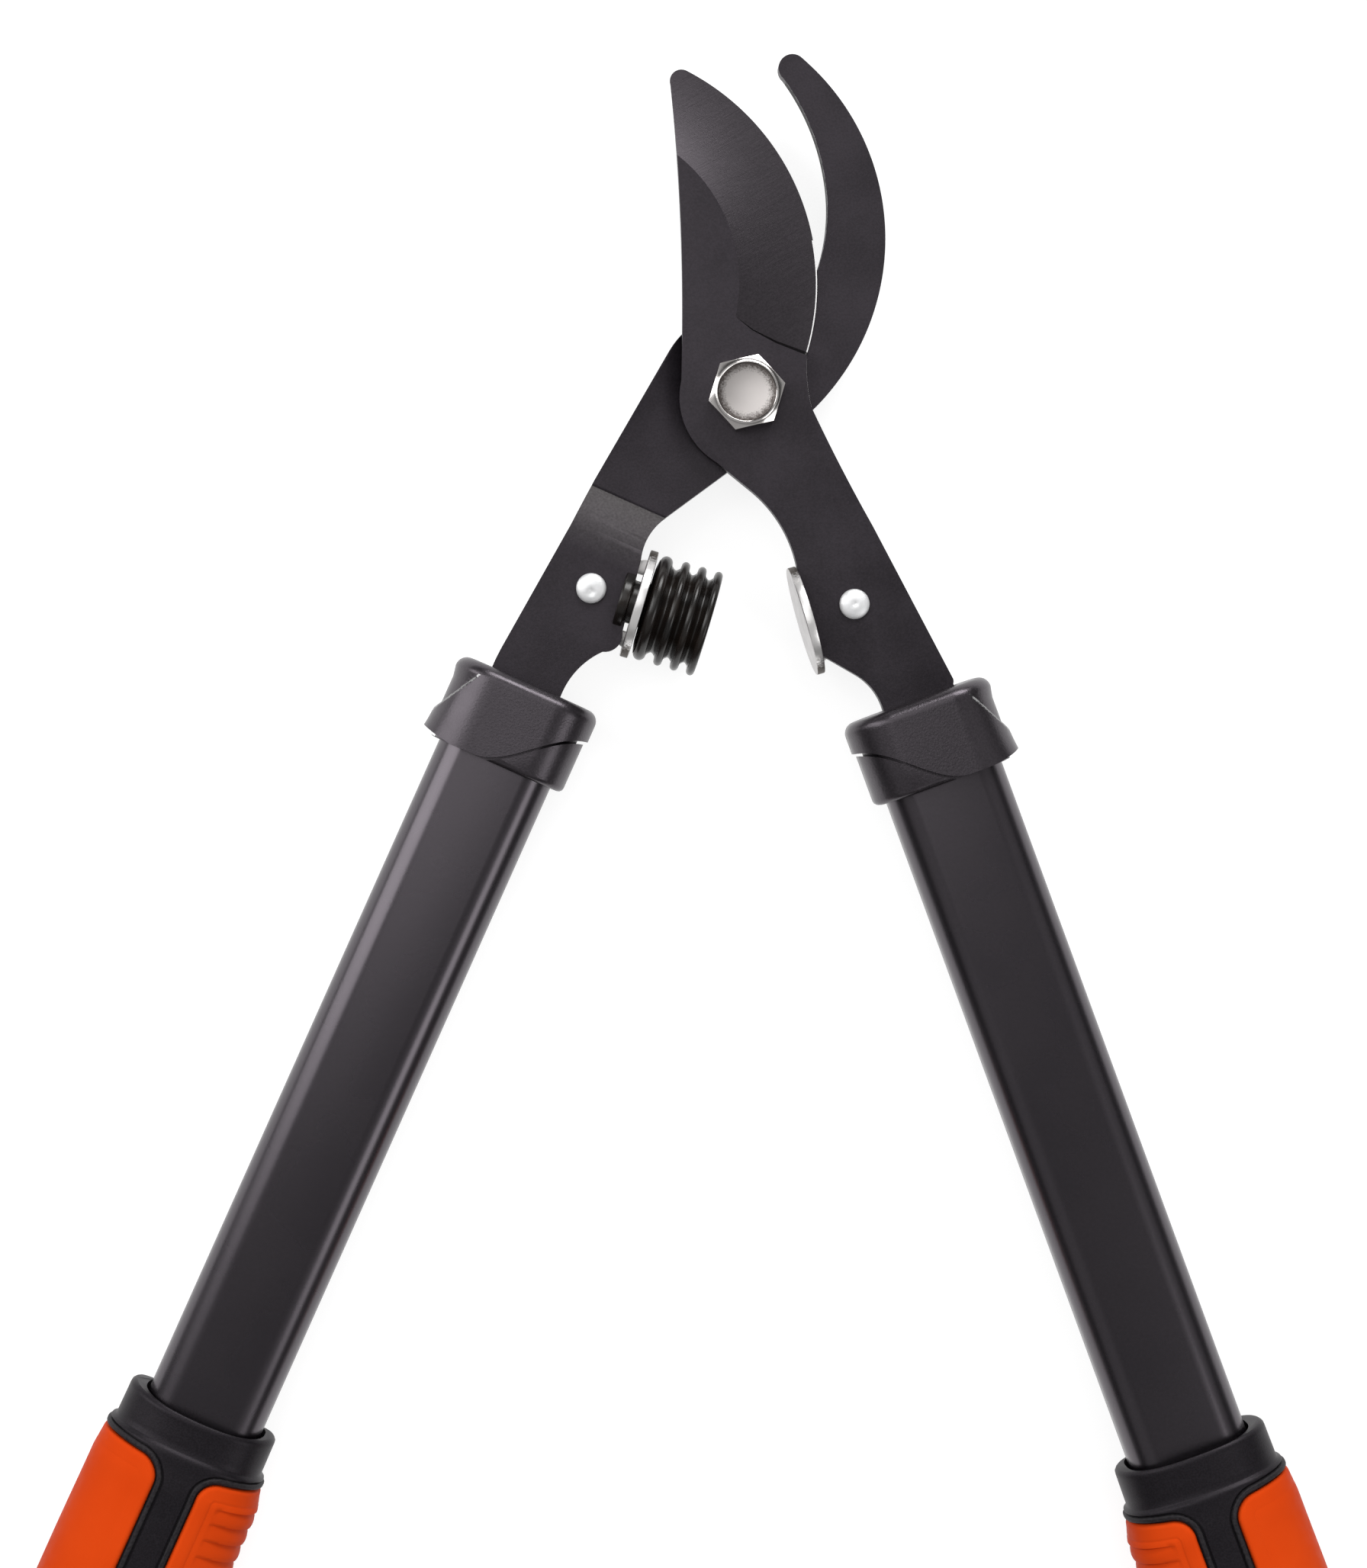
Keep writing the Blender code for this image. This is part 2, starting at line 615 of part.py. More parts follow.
def tail_slot(half, name, front, bottom, top):
    """Cutter that makes room for the tail of the bumper in a plate."""
    back = BRACKET_THICKNESS / 2 + BUMPER_TAIL_GAP + BUMPER_TAIL_THICKNESS + CLEARANCE
    side = BUMPER_TAIL / 2 + CLEARANCE
    corners = ((-back, -side), (front, -side), (front, side), (-back, side))
    outline = [BUMPER_AT + leaning(BUMPER_LEAN, *corner) for corner in corners]
    return add(name, prism(outline, bottom, top), half)


# Pivot hardware

def hexagon(width, turn):
    radius = width / math.sqrt(3)
    return [radius * Vector((math.cos(turn + k * math.pi / 3), math.sin(turn + k * math.pi / 3)))
            for k in range(6)]


def pivot_bolt(half):
    """Hexagon head, chamfered and dished, on a plain round shank."""
    seat = BLADE_BASE + PLATE_THICKNESS + CLEARANCE
    top = seat + HEAD_HEIGHT
    corner = HEAD_WIDTH / math.sqrt(3) + 0.0001
    recess, shank = HEAD_RECESS / 2, BOLT_DIAMETER / 2
    tip = nut_end() - BOLT_STICK_OUT
    bowl = RECESS_DEPTH - RECESS_STEP
    dish = [(recess, top), (recess - 0.0007, top - RECESS_STEP),
            (recess * 0.5, top - RECESS_STEP - bowl * 0.7), (0, top - RECESS_DEPTH)]
    head = turned([(0, seat), (corner, seat), (corner, top - 0.0012),
                   (HEAD_WIDTH / 2 - 0.0003, top)] + dish)
    bolt = add("pivot_bolt", head, half, bright_nickel())
    flats = prism(hexagon(HEAD_WIDTH, HEAD_TURN), seat - 0.001, top + 0.001)
    boolean(bolt, add("bolt_flats", flats, half), "INTERSECT")
    stem = turned([(0, tip), (shank - 0.0008, tip), (shank, tip + 0.0008),
                   (shank, seat + 0.001), (0, seat + 0.001)])
    boolean(bolt, add("bolt_stem", stem, half), "UNION")


def washer_face():
    return HOOK_BASE - CLEARANCE


def nut_face():
    return washer_face() - WASHER_THICKNESS - CLEARANCE


def nut_end():
    return nut_face() - NUT_HEIGHT - NUT_COLLAR_HEIGHT


def pivot_washer(half):
    bore = BOLT_DIAMETER / 2 + CLEARANCE
    rim = WASHER_DIAMETER / 2
    high, low = washer_face(), washer_face() - WASHER_THICKNESS
    profile = [(bore, low), (rim - 0.0003, low), (rim, low + 0.0003), (rim, high - 0.0003),
               (rim - 0.0003, high), (bore, high), (bore, low)]
    add("pivot_washer", turned(profile), half, zinc_plate())


def pivot_nut(half):
    """Hexagon lock nut with a round collar that holds a nylon ring."""
    bore = BOLT_DIAMETER / 2 + CLEARANCE
    high, low = nut_face(), nut_face() - NUT_HEIGHT
    end = nut_end()
    collar, corner = NUT_COLLAR_DIAMETER / 2, HEAD_WIDTH / math.sqrt(3) + 0.0001
    pocket = bore + LOCK_RING_WALL + CLEARANCE
    lip = end + 0.0004
    profile = [(bore, high), (HEAD_WIDTH / 2 - 0.0003, high), (corner, high - 0.0010),
               (corner, low), (collar, low), (collar, end + 0.0006),
               (collar - 0.0006, end), (pocket - 0.0003, end), (pocket, lip), (pocket, low),
               (bore, low), (bore, high)]
    nut = add("pivot_nut", turned(profile), half, zinc_plate())
    flats = prism(hexagon(HEAD_WIDTH, 0.0), end - 0.001, high + 0.001)
    boolean(nut, add("nut_flats", flats, half), "INTERSECT")
    ring_top = low - CLEARANCE
    inner, outer = bore, bore + LOCK_RING_WALL
    ring = [(inner, ring_top), (outer, ring_top), (outer, lip), (outer - 0.0002, end),
            (inner, end), (inner, ring_top)]
    add("nut_lock_ring", turned(ring), half, lock_nylon())


# Handles

def tube_top():
    return FERRULE_TOP + FERRULE_ROOF + CLEARANCE


def pin_place(half):
    middle = half.tube_offset + half.outward * TANG_SHIFT
    return Vector((middle, -tube_top() - TUBE_PIN_AT))


def tube_ring(station, inset=0.0):
    return rounded_ring(TUBE_WIDTH / 2, TUBE_DEPTH / 2, TUBE_CORNER, station, inset)


def handle_tube(side, half):
    rings = [tube_ring(tube_top()), tube_ring(TUBE_END),
             tube_ring(TUBE_END, TUBE_WALL), tube_ring(tube_top(), TUBE_WALL)]
    tube = add(side + "_tube", half.from_bench(lofted(rings, open_bore=True)), half,
               tube_paint())
    cut_hole(tube, half, pin_place(half), TUBE_PIN_DIAMETER + 2 * CLEARANCE,
             TANG_MIDDLE - TUBE_DEPTH, TANG_MIDDLE + TUBE_DEPTH)


def tang_slot(half, name, top, end, margin):
    """Cutter for the slot that a tang passes through."""
    inner, outer = tang_edges(half)
    low_x, high_x = min(inner, outer) - margin, max(inner, outer) + margin
    outline = ((low_x, -end), (high_x, -end), (high_x, -top), (low_x, -top))
    reach = PLATE_THICKNESS / 2 + CLEARANCE
    return add(name, prism(outline, TANG_MIDDLE - reach, TANG_MIDDLE + reach), half)


def tang_insert(side, half):
    """Moulded plug that fills the tube round the tang."""
    top = tube_top() + INSERT_TOP_GAP
    end = top + INSERT_LENGTH
    inset = TUBE_WALL + CLEARANCE
    rings = [tube_ring(top, inset + 0.0005), tube_ring(top + 0.0005, inset),
             tube_ring(end - 0.002, inset), tube_ring(end, inset + 0.001)]
    plug = add(side + "_tang_insert", half.from_bench(lofted(rings)), half, moulded_black())
    boolean(plug, tang_slot(half, side + "_insert_slot", top - 0.002, end + 0.002, CLEARANCE))
    cut_hole(plug, half, pin_place(half), TUBE_PIN_DIAMETER + 2 * CLEARANCE,
             TANG_MIDDLE - TUBE_DEPTH, TANG_MIDDLE + TUBE_DEPTH)


def tube_pin(side, half):
    """Pin through tube, plug and tang, flush with the tube's flat sides."""
    radius, reach = TUBE_PIN_DIAMETER / 2, TUBE_DEPTH / 2
    profile = [(0, -reach), (radius - 0.0004, -reach), (radius, -reach + 0.0004),
               (radius, reach - 0.0004), (radius - 0.0004, reach), (0, reach)]
    shape = turned(profile, SMALL_TURN_STEPS)
    bmesh.ops.translate(shape, verts=shape.verts, vec=(*pin_place(half), TANG_MIDDLE))
    add(side + "_tube_pin", shape, half, bare_steel())


def ferrule_wave(across):
    """Station of the cap's lower edge, which dips from the inner side out."""
    half_width = TUBE_WIDTH / 2 + CLEARANCE + FERRULE_SLEEVE_WALL + FERRULE_CAP_STEP
    run = (across + half_width) / (half_width * 1.22)
    run = min(max(run, 0.0), 1.0)
    dip = FERRULE_WAVE_DROP * (1 - math.cos(math.pi * run)) / 2
    return FERRULE_TOP + FERRULE_CAP_LENGTH + dip


def ferrule_ring(station, wall, inset=0.0, flare=0.0):
    """Ring of the ferrule, with its outer side drawn out by the flare."""
    grown = CLEARANCE + wall
    ring = rounded_ring(TUBE_WIDTH / 2 + grown, TUBE_DEPTH / 2 + grown,
                        TUBE_CORNER + grown, station, inset)
    half_width = TUBE_WIDTH / 2 + grown
    drawn = []
    for x, y, z in ring:
        share = min(max((x / half_width - 0.45) / 0.5, 0.0), 1.0)
        drawn.append((x + flare * share, y, z))
    return drawn


def ferrule(side, half):
    """Moulded ferrule: a slotted cap with a waved skirt over a plain sleeve."""
    cap_wall = FERRULE_SLEEVE_WALL + FERRULE_CAP_STEP
    edge = FERRULE_EDGE_ROUND
    skirt_end = FERRULE_TOP + FERRULE_CAP_LENGTH + FERRULE_WAVE_DROP + 0.001
    flare_start = skirt_end - FERRULE_FLARE_LENGTH
    rings = [ferrule_ring(FERRULE_TOP + edge * (1 - math.sin(t)), cap_wall,
                          edge * (1 - math.cos(t)))
             for t in (math.pi / 2, 1.2, 0.8, 0.4, 0.0)]
    rings += [ferrule_ring(flare_start, cap_wall),
              ferrule_ring((flare_start + skirt_end) / 2, cap_wall, 0.0, FERRULE_FLARE * 0.7),
              ferrule_ring(skirt_end, cap_wall, 0.0, FERRULE_FLARE)]
    cap = add(side + "_ferrule", half.from_bench(lofted(rings)), half, moulded_black())

    reach = TUBE_WIDTH
    places = [-reach + 2 * reach * step / 40 for step in range(41)]
    wave = [(x, -ferrule_wave(x)) for x in places]
    below = [(reach, -skirt_end - 0.004), (-reach, -skirt_end - 0.004)]
    skirt_cut = half.from_bench(prism(wave + below, -TUBE_WIDTH, TUBE_WIDTH))
    boolean(cap, add(side + "_skirt_cut", skirt_cut, half))

    sleeve_end = FERRULE_TOP + FERRULE_SLEEVE_LENGTH
    sleeve = [ferrule_ring(FERRULE_TOP + edge, FERRULE_SLEEVE_WALL),
              ferrule_ring(sleeve_end - 0.0006, FERRULE_SLEEVE_WALL),
              ferrule_ring(sleeve_end, FERRULE_SLEEVE_WALL, 0.0006)]
    boolean(cap, add(side + "_sleeve", half.from_bench(lofted(sleeve)), half), "UNION")

    bore = [ferrule_ring(FERRULE_TOP + FERRULE_ROOF, 0.0),
            ferrule_ring(skirt_end + 0.005, 0.0)]
    boolean(cap, add(side + "_ferrule_bore", half.from_bench(lofted(bore)), half))
    boolean(cap, tang_slot(half, side + "_roof_slot", FERRULE_TOP - 0.002,
                           tube_top() + 0.001, SLOT_MARGIN))


# Grips

def grip_sections():
    """(distance from the grip's top, half width, half depth, shift) down the grip."""
    collar, collar_depth, shift = COLLAR_WIDTH / 2, COLLAR_DEPTH / 2, COLLAR_SHIFT
    body, body_depth = GRIP_WIDTH / 2, GRIP_DEPTH / 2
    butt = BUTT_WIDTH / 2
    neck = GRIP_LENGTH - BUTT_LENGTH
    return [
        (0.0, collar - 0.0010, collar_depth - 0.0010, shift),
        (0.0016, collar, collar_depth, shift),
        (COLLAR_LENGTH, collar + 0.0001, collar_depth + 0.0003, shift),
        (COLLAR_LENGTH + 0.0008, collar + 0.0011, collar_depth + 0.0009, shift),
        (PAD_TOP, collar + 0.0013, collar_depth + 0.0012, shift),
        (PAD_TOP + 0.0030, body - 0.0009, body_depth - 0.0014, shift / 2),
        (PAD_TOP + 0.0070, body - 0.0001, body_depth - 0.0010, 0.0),
        (PAD_TOP + 0.0310, body, body_depth, 0.0),
        (neck - 0.0060, body, body_depth, 0.0),
        (neck + BUTT_LENGTH * 0.42, butt - 0.0012, body_depth, 0.0),
        (neck + BUTT_LENGTH * 0.70, butt, body_depth, 0.0),
        (GRIP_LENGTH - 0.0030, butt - 0.0008, body_depth - 0.0005, 0.0),
        (GRIP_LENGTH - 0.0008, butt - 0.0024, body_depth - 0.0020, 0.0),
        (GRIP_LENGTH, butt - 0.0050, body_depth - 0.0042, 0.0),
    ]


def grip_size(run):
    """Half width, half depth and shift of the grip at a distance from its top."""
    sections = grip_sections()
    for (a, *low), (b, *high) in zip(sections, sections[1:]):
        if run <= b:
            share = (run - a) / (b - a)
            return [x + (y - x) * share for x, y in zip(low, high)]
    return sections[-1][1:]


def unit_oval(squareness):
    """Points of an oval that fills its box more squarely than an ellipse does."""
    power = 2 / squareness
    points = []
    for step in range(OVAL_STEPS):
        angle = math.tau * (step + 0.5) / OVAL_STEPS
        across, through = math.cos(angle), math.sin(angle)
        points.append((math.copysign(abs(across) ** power, across),
                       math.copysign(abs(through) ** power, through)))
    return points


def grip_ring(station, run, inset, rib_depth=0.0):
    """Oval ring of the grip; ribs take their depth off the inner side."""
    half_width, half_depth, shift = grip_size(run)
    ring = []
    for across, through in unit_oval(GRIP_SQUARENESS):
        inner_share = min(max(-across * 2 - 0.5, 0.0), 1.0)
        width = half_width - inset - rib_depth * inner_share
        depth = half_depth - inset - rib_depth * inner_share * 0.6
        ring.append((width * across + shift, -station, depth * through))
    return ring


def mouth_ring(station):
    """Oval ring of the collar's mouth, rounder than the tube that enters it."""
    half_width = TUBE_WIDTH / 2 + MOUTH_SIDE_GAP
    half_depth = TUBE_DEPTH / 2 + MOUTH_FACE_GAP
    return [(half_width * across, -station, half_depth * through)
            for across, through in unit_oval(MOUTH_SQUARENESS)]


def grip_solid(half, name, inset, ribbed=False, material=None):
    """Solid oval body of the grip, drawn in by an inset; hidden ones are plainer."""
    runs = {run: 0.0 for run, *_ in grip_sections()}
    if not material:
        runs = {run: 0.0 for run in (0.0, PAD_TOP, PAD_TOP + 0.0060,
                                     GRIP_LENGTH - BUTT_LENGTH, GRIP_LENGTH - 0.0030)}
    if ribbed:
        first = PAD_TOP + RIB_START
        last = first + RIB_COUNT * RIB_PITCH
        runs = {run: 0.0 for run in runs if run < first or run > last}
        for rib in range(RIB_COUNT):
            valley = first + rib * RIB_PITCH
            runs[valley] = RIB_DEPTH
            runs[valley + RIB_PITCH * 0.6] = 0.0
        runs[last] = RIB_DEPTH
        runs[last + RIB_PITCH * 0.3] = 0.0
    rings = [grip_ring(half.grip_top + run, run, inset, depth)
             for run, depth in sorted(runs.items())]
    return add(name, half.from_bench(lofted(rings)), half, material, 40)


def pad_prism(half, name, side, grow=0.0):
    """Plan of one pad, cut straight through the grip; side is 1 for the outer."""
    strip = STRIP_OUTER if side > 0 else STRIP_INNER
    edge = strip - grow
    top = half.grip_top + PAD_TOP - grow
    end = half.grip_top + PAD_TOP + PAD_LENGTH + grow
    corner = PAD_CORNER + grow
    far = BUTT_WIDTH
    bend = corner * (1 - math.sqrt(0.5))
    dip = top + PAD_DIP
    top_corner = arc((edge + corner, -dip), (edge + bend, -dip - bend), (edge, -dip - corner), 5)
    end_corner = arc((edge, -end + corner), (edge + bend, -end + bend), (edge + corner, -end), 5)
    outline = [(far, -top), (PAD_DIP_START, -top), (edge + corner, -dip), *top_corner,
               (edge, -end + corner), *end_corner, (far, -end)]
    outline = [(side * point[0], point[1]) for point in outline]
    return add(name, half.from_bench(prism(outline, -BUTT_WIDTH, BUTT_WIDTH)), half)


def mouth_dip(half, name):
    """Saddle that takes the rim of the collar down in front and behind."""
    reach = COLLAR_DEPTH / 2 + 0.002
    curve = []
    for step in range(-4, 5):
        height = reach * step / 4
        curve.append((height, -half.grip_top - half.mouth_dip * (height * 2 / COLLAR_DEPTH) ** 2))
    outline = [*curve, (reach, -half.grip_top + 0.002), (-reach, -half.grip_top + 0.002)]
    shape = prism(outline, -COLLAR_WIDTH, COLLAR_WIDTH)
    bmesh.ops.rotate(shape, verts=shape.verts, matrix=Matrix.Rotation(math.pi / 2, 3, "Y"))
    return add(name, half.from_bench(shape), half)


def grip(side, half):
    """Hard core with a bore for the tube, and two soft pads let into it."""
    sunk = PAD_THICKNESS - PAD_PROUD
    core = grip_solid(half, side + "_grip_core", 0.0, material=moulded_black())
    floor = grip_solid(half, side + "_pocket_floor", sunk + CLEARANCE)
    back = grip_solid(half, side + "_pad_back", sunk)
    for place, sign in (("outer", 1), ("inner", -1)):
        pocket = pad_prism(half, f"{side}_{place}_pocket", sign, CLEARANCE)
        boolean(pocket, floor)
        boolean(core, pocket)
        pad = grip_solid(half, f"{side}_{place}_pad", -PAD_PROUD, sign < 0, pad_orange())
        boolean(pad, pad_prism(half, f"{side}_{place}_plan", sign), "INTERSECT")
        boolean(pad, back)
    boolean(core, mouth_dip(half, side + "_mouth_dip"))
    mouth_floor = half.grip_top + GRIP_MOUTH_DEPTH
    mouth = [mouth_ring(half.grip_top - 0.001), mouth_ring(mouth_floor)]
    boolean(core, add(side + "_grip_mouth", half.from_bench(lofted(mouth)), half))
    bore = [tube_ring(mouth_floor - 0.001, -CLEARANCE),
            tube_ring(TUBE_END + CLEARANCE, -CLEARANCE)]
    boolean(core, add(side + "_grip_bore", half.from_bench(lofted(bore)), half))


def handle(side, half):
    handle_tube(side, half)
    tang_insert(side, half)
    tube_pin(side, half)
    ferrule(side, half)
    grip(side, half)


def stand_on_origin():
    """Move the pivot so that the box of all pieces stands over the origin."""
    bpy.context.view_layer.update()
    graph = bpy.context.evaluated_depsgraph_get()
    low = Vector((math.inf,) * 3)
    high = Vector((-math.inf,) * 3)
    for piece in bpy.data.objects:
        if piece.type != "MESH" or piece.hide_render:
            continue
        shape = piece.evaluated_get(graph)
        for vert in shape.data.vertices:
            place = shape.matrix_world @ vert.co
            low = Vector(map(min, low, place))
            high = Vector(map(max, high, place))
    pivot.location -= Vector(((low.x + high.x) / 2, (low.y + high.y) / 2, low.z))
    print("pivot stands at", [round(value, 6) for value in pivot.location])
    print("box measures", [round(value, 6) for value in high - low])


pivot = bpy.data.objects.new("pivot_axis", None)
bpy.context.collection.objects.link(pivot)
hook_half = Half("hook_half", HOOK_HALF_ANGLE, -1, HOOK_TUBE_OFFSET, HOOK_GRIP_TOP,
                 HOOK_MOUTH_DIP)
blade_half = Half("blade_half", BLADE_HALF_ANGLE, 1, BLADE_TUBE_OFFSET, BLADE_GRIP_TOP,
                  BLADE_MOUTH_DIP)

hook_plate(hook_half)
pivot_bolt(hook_half)
pivot_washer(hook_half)
pivot_nut(hook_half)
bracket("bumper_bracket", hook_half, BUMPER_AT, BUMPER_LEAN, BUMPER_RIVET_AT,
        BUMPER_NECK + 2 * CLEARANCE)
rivet("bumper_rivet", hook_half, BUMPER_RIVET_AT)
rubber_bumper(hook_half)
handle("left", hook_half)

cutting_blade(blade_half)
strike_middle = STRIKE_AT + leaning(-STRIKE_LEAN, BRACKET_THICKNESS / 2)
bracket("strike_bracket", blade_half, strike_middle, -STRIKE_LEAN, STRIKE_RIVET_AT)
rivet("strike_rivet", blade_half, STRIKE_RIVET_AT)
handle("right", blade_half)

stand_on_origin()
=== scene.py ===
import bisect
import json
import math

import bmesh
import bpy
from mathutils import Matrix, Vector


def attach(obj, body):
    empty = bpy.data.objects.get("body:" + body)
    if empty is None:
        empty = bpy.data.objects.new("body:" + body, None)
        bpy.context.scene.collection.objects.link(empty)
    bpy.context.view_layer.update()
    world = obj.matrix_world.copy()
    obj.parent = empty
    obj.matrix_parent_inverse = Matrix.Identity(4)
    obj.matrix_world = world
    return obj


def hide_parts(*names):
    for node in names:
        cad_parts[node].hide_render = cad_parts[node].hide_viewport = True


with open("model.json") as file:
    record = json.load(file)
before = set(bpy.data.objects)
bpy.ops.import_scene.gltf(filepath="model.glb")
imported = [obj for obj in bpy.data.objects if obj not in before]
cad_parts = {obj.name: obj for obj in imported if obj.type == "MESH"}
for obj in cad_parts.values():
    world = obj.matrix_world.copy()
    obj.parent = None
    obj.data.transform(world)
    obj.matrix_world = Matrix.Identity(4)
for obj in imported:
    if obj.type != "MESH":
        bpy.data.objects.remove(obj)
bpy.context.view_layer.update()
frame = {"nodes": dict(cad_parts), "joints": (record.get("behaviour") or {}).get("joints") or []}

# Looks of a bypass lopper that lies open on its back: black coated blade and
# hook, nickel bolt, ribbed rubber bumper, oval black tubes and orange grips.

# Both halves turn about the pivot; the bench frame of a handle has x to its
# outer side, y = -station and z = 0 on the axis of the tube.
PIVOT = Vector(frame["joints"][0]["pos_m"])
CLEARANCE = 0.0003
PLATE = 0.0042
BLADE_BASE = CLEARANCE / 2
BLADE_TOP = BLADE_BASE + PLATE
SPINE_ROUNDING = 0.0007
HOOK_BASE = -CLEARANCE / 2 - PLATE
TANG_MIDDLE = BLADE_BASE + PLATE / 2
TANG_HALF_WIDTH = 0.00935
TANG_SHIFT = 0.0012          # outwards of the tube's axis
TANG_END = 0.1480

# Cutting edge, hollow grind and hook
EDGE_CENTRE = Vector((-0.0304, 0.0408))
EDGE_RADIUS = 0.0607
EDGE_ANGLES = (42.8, -37.5)  # degrees, from the blade's tip to its heel
EDGE_LAND = 0.0005
GRIND_WIDTH = 0.0198
GRIND_HOLLOW = 0.00045
GRIND_STEP = 0.00012         # where the wheel first bites
GRIND_HEEL = 0.003           # nothing below this height is ground
HONED_STRIP = 0.00030
# stretch of the cutting edge that gets the painted glint, in front of the hook
GLINT_FROM, GLINT_TO = -0.010, 0.0300
HOOK_CENTRE = Vector((-0.0386, 0.0261))
HOOK_RADIUS = 0.0600
HOOK_TIP = Vector((-0.0238, 0.0770))
HOOK_CHAMFER = 0.0013
HOOK_CHAMFER_DEPTH = 0.0009
BOSS_RADIUS = 0.0222
JOGGLE_START = 0.0364
JOGGLE_LENGTH = 0.0110
FOLD_WIDTH = 0.0007          # fine groove at the joggle's foot
FOLD_DEPTH = 0.00022
RUBBED_WIDTH = 0.00022       # grey line outside the jaw's chamfer

# Pivot hardware
BOLT_RADIUS = 0.0050
HEAD_WIDTH = 0.0170
HEAD_HEIGHT = 0.0055
HEAD_TURN = math.radians(37.1)
DISH_RADIUS = 0.00735
DISH_DEPTH = 0.0009
WASHER_FACE = HOOK_BASE - CLEARANCE
WASHER_THICKNESS = 0.0016
NUT_FACE = WASHER_FACE - WASHER_THICKNESS - CLEARANCE
NUT_HEIGHT = 0.0058
NUT_END = NUT_FACE - NUT_HEIGHT - 0.0022

# Handles
TUBE_WIDTH = 0.0304
TUBE_DEPTH = 0.0190
TUBE_CORNER = 0.0075
TUBE_OVAL = (TUBE_WIDTH / 2, TUBE_DEPTH / 2, TUBE_CORNER)
TUBE_WALL = 0.0012
TUBE_END = 0.4400
FERRULE_TOP = 0.0886
FERRULE_ROOF = 0.0034
COLLAR_HALF_WIDTH = 0.01965
COLLAR_HALF_DEPTH = 0.0135
COLLAR_SHIFT = 0.0005
GRIP_WIDTH = 0.0444
GRIP_DEPTH = 0.0330
GRIP_LENGTH = 0.1680
SQUARENESS = 2.35            # power of the grip's oval section


class Half:
    """One half of the tool: its body, and the matrices of its two frames."""

    def __init__(self, body, degrees, outward, tube_offset, grip_top, mouth_dip, ferrule_rise):
        self.body = body
        self.turn = math.radians(degrees)
        self.outward = outward
        self.tube_offset = tube_offset
        self.grip_top = grip_top
        self.mouth_dip = mouth_dip
        self.ferrule_rise = ferrule_rise
        self.matrix = Matrix.Translation(PIVOT) @ Matrix.Rotation(self.turn, 4, "Z")
        self.bench = (self.matrix @ Matrix.Translation((tube_offset, 0, TANG_MIDDLE))
                      @ Matrix.Diagonal((outward, 1, 1, 1)))

    def tang_edges(self):
        middle = self.tube_offset + self.outward * TANG_SHIFT
        reach = self.outward * TANG_HALF_WIDTH
        return middle - reach, middle + reach


HOOK_HALF = Half("hook_handle", degrees=-24.1, outward=-1, tube_offset=-0.0196,
                 grip_top=0.2876, mouth_dip=0.0018, ferrule_rise=0.0)
BLADE_HALF = Half("blade_handle", degrees=20.1, outward=1, tube_offset=0.0133,
                  grip_top=0.2857, mouth_dip=0.0006, ferrule_rise=0.0019)


# Finishes

def add_node(tree, kind, inputs, **settings):
    """A shader node; each input is a value, or the socket that feeds it."""
    node = tree.nodes.new("ShaderNode" + kind)
    for name, value in settings.items():
        setattr(node, name, value)
    for key, value in inputs.items():
        if isinstance(value, bpy.types.NodeSocket):
            tree.links.new(value, node.inputs[key])
        else:
            node.inputs[key].default_value = value
    return node


class Finish:
    """A material, the record's slot that it belongs to, and short calls for its nodes."""

    def __init__(self, name, slot, colour, roughness, metallic=0.0, specular=0.5,
                 sheen=(1.0, 1.0, 1.0), index=1.5):
        self.slot = slot
        self.material = bpy.data.materials.new(name)
        self.material.use_nodes = True
        self.tree = self.material.node_tree
        self.shader = self.tree.nodes["Principled BSDF"]
        self.place = self.add("TexCoord", {}, "Object")
        for key, value in {"Base Color": (*colour, 1), "Roughness": roughness,
                           "Metallic": metallic, "Specular IOR Level": specular,
                           "Specular Tint": (*sheen, 1), "IOR": index}.items():
            self.shader.inputs[key].default_value = value

    def add(self, kind, inputs, output=0, **settings):
        return add_node(self.tree, kind, inputs, **settings).outputs[output]

    def feed(self, source, key):
        self.tree.links.new(source, self.shader.inputs[key])

    def mapped(self, stretch=(1, 1, 1), turn=0.0):
        """Object coordinates, turned about Z and then stretched."""
        turned_by = self.add("Mapping", {"Vector": self.place, "Rotation": (0, 0, turn)})
        return self.add("Mapping", {"Vector": turned_by, "Scale": stretch})

    def noise(self, scale, detail=2.0, place=None, roughness=0.5):
        return self.add("TexNoise", {"Vector": place or self.place, "Scale": scale,
                                     "Detail": detail, "Roughness": roughness})

    def spread(self, value, low=0.0, high=1.0, start=0.3, end=0.7):
        """A value's middle range spread from low to high."""
        return self.add("MapRange", {"Value": value, "From Min": start, "From Max": end,
                                     "To Min": low, "To Max": high})

    def blend(self, share, low, high):
        """A colour between two colours, which may be sockets."""
        low, high = [(*colour, 1) if isinstance(colour, tuple) else colour
                     for colour in (low, high)]
        return self.add("Mix", {0: share, 6: low, 7: high}, 2, data_type="RGBA")

    def sum(self, first, second, weight=1.0):
        return self.add("Math", {0: second, 1: weight, 2: first}, operation="MULTIPLY_ADD")

    def speckled(self, value, low, high, start=0.3, end=0.7):
        """Colour the finish from low to high over a value's middle range."""
        share = self.spread(value, start=start, end=end)
        self.feed(self.blend(share, low, high), "Base Color")

    def satin(self, value, low, high):
        """Let the roughness follow a value's middle range from low to high."""
        self.feed(self.spread(value, low, high), "Roughness")

    def bump(self, height, strength, depth):
        self.feed(self.add("Bump", {"Strength": strength, "Distance": depth,
                                    "Height": height}), "Normal")


VIOLET = (1.0, 0.90, 1.0)


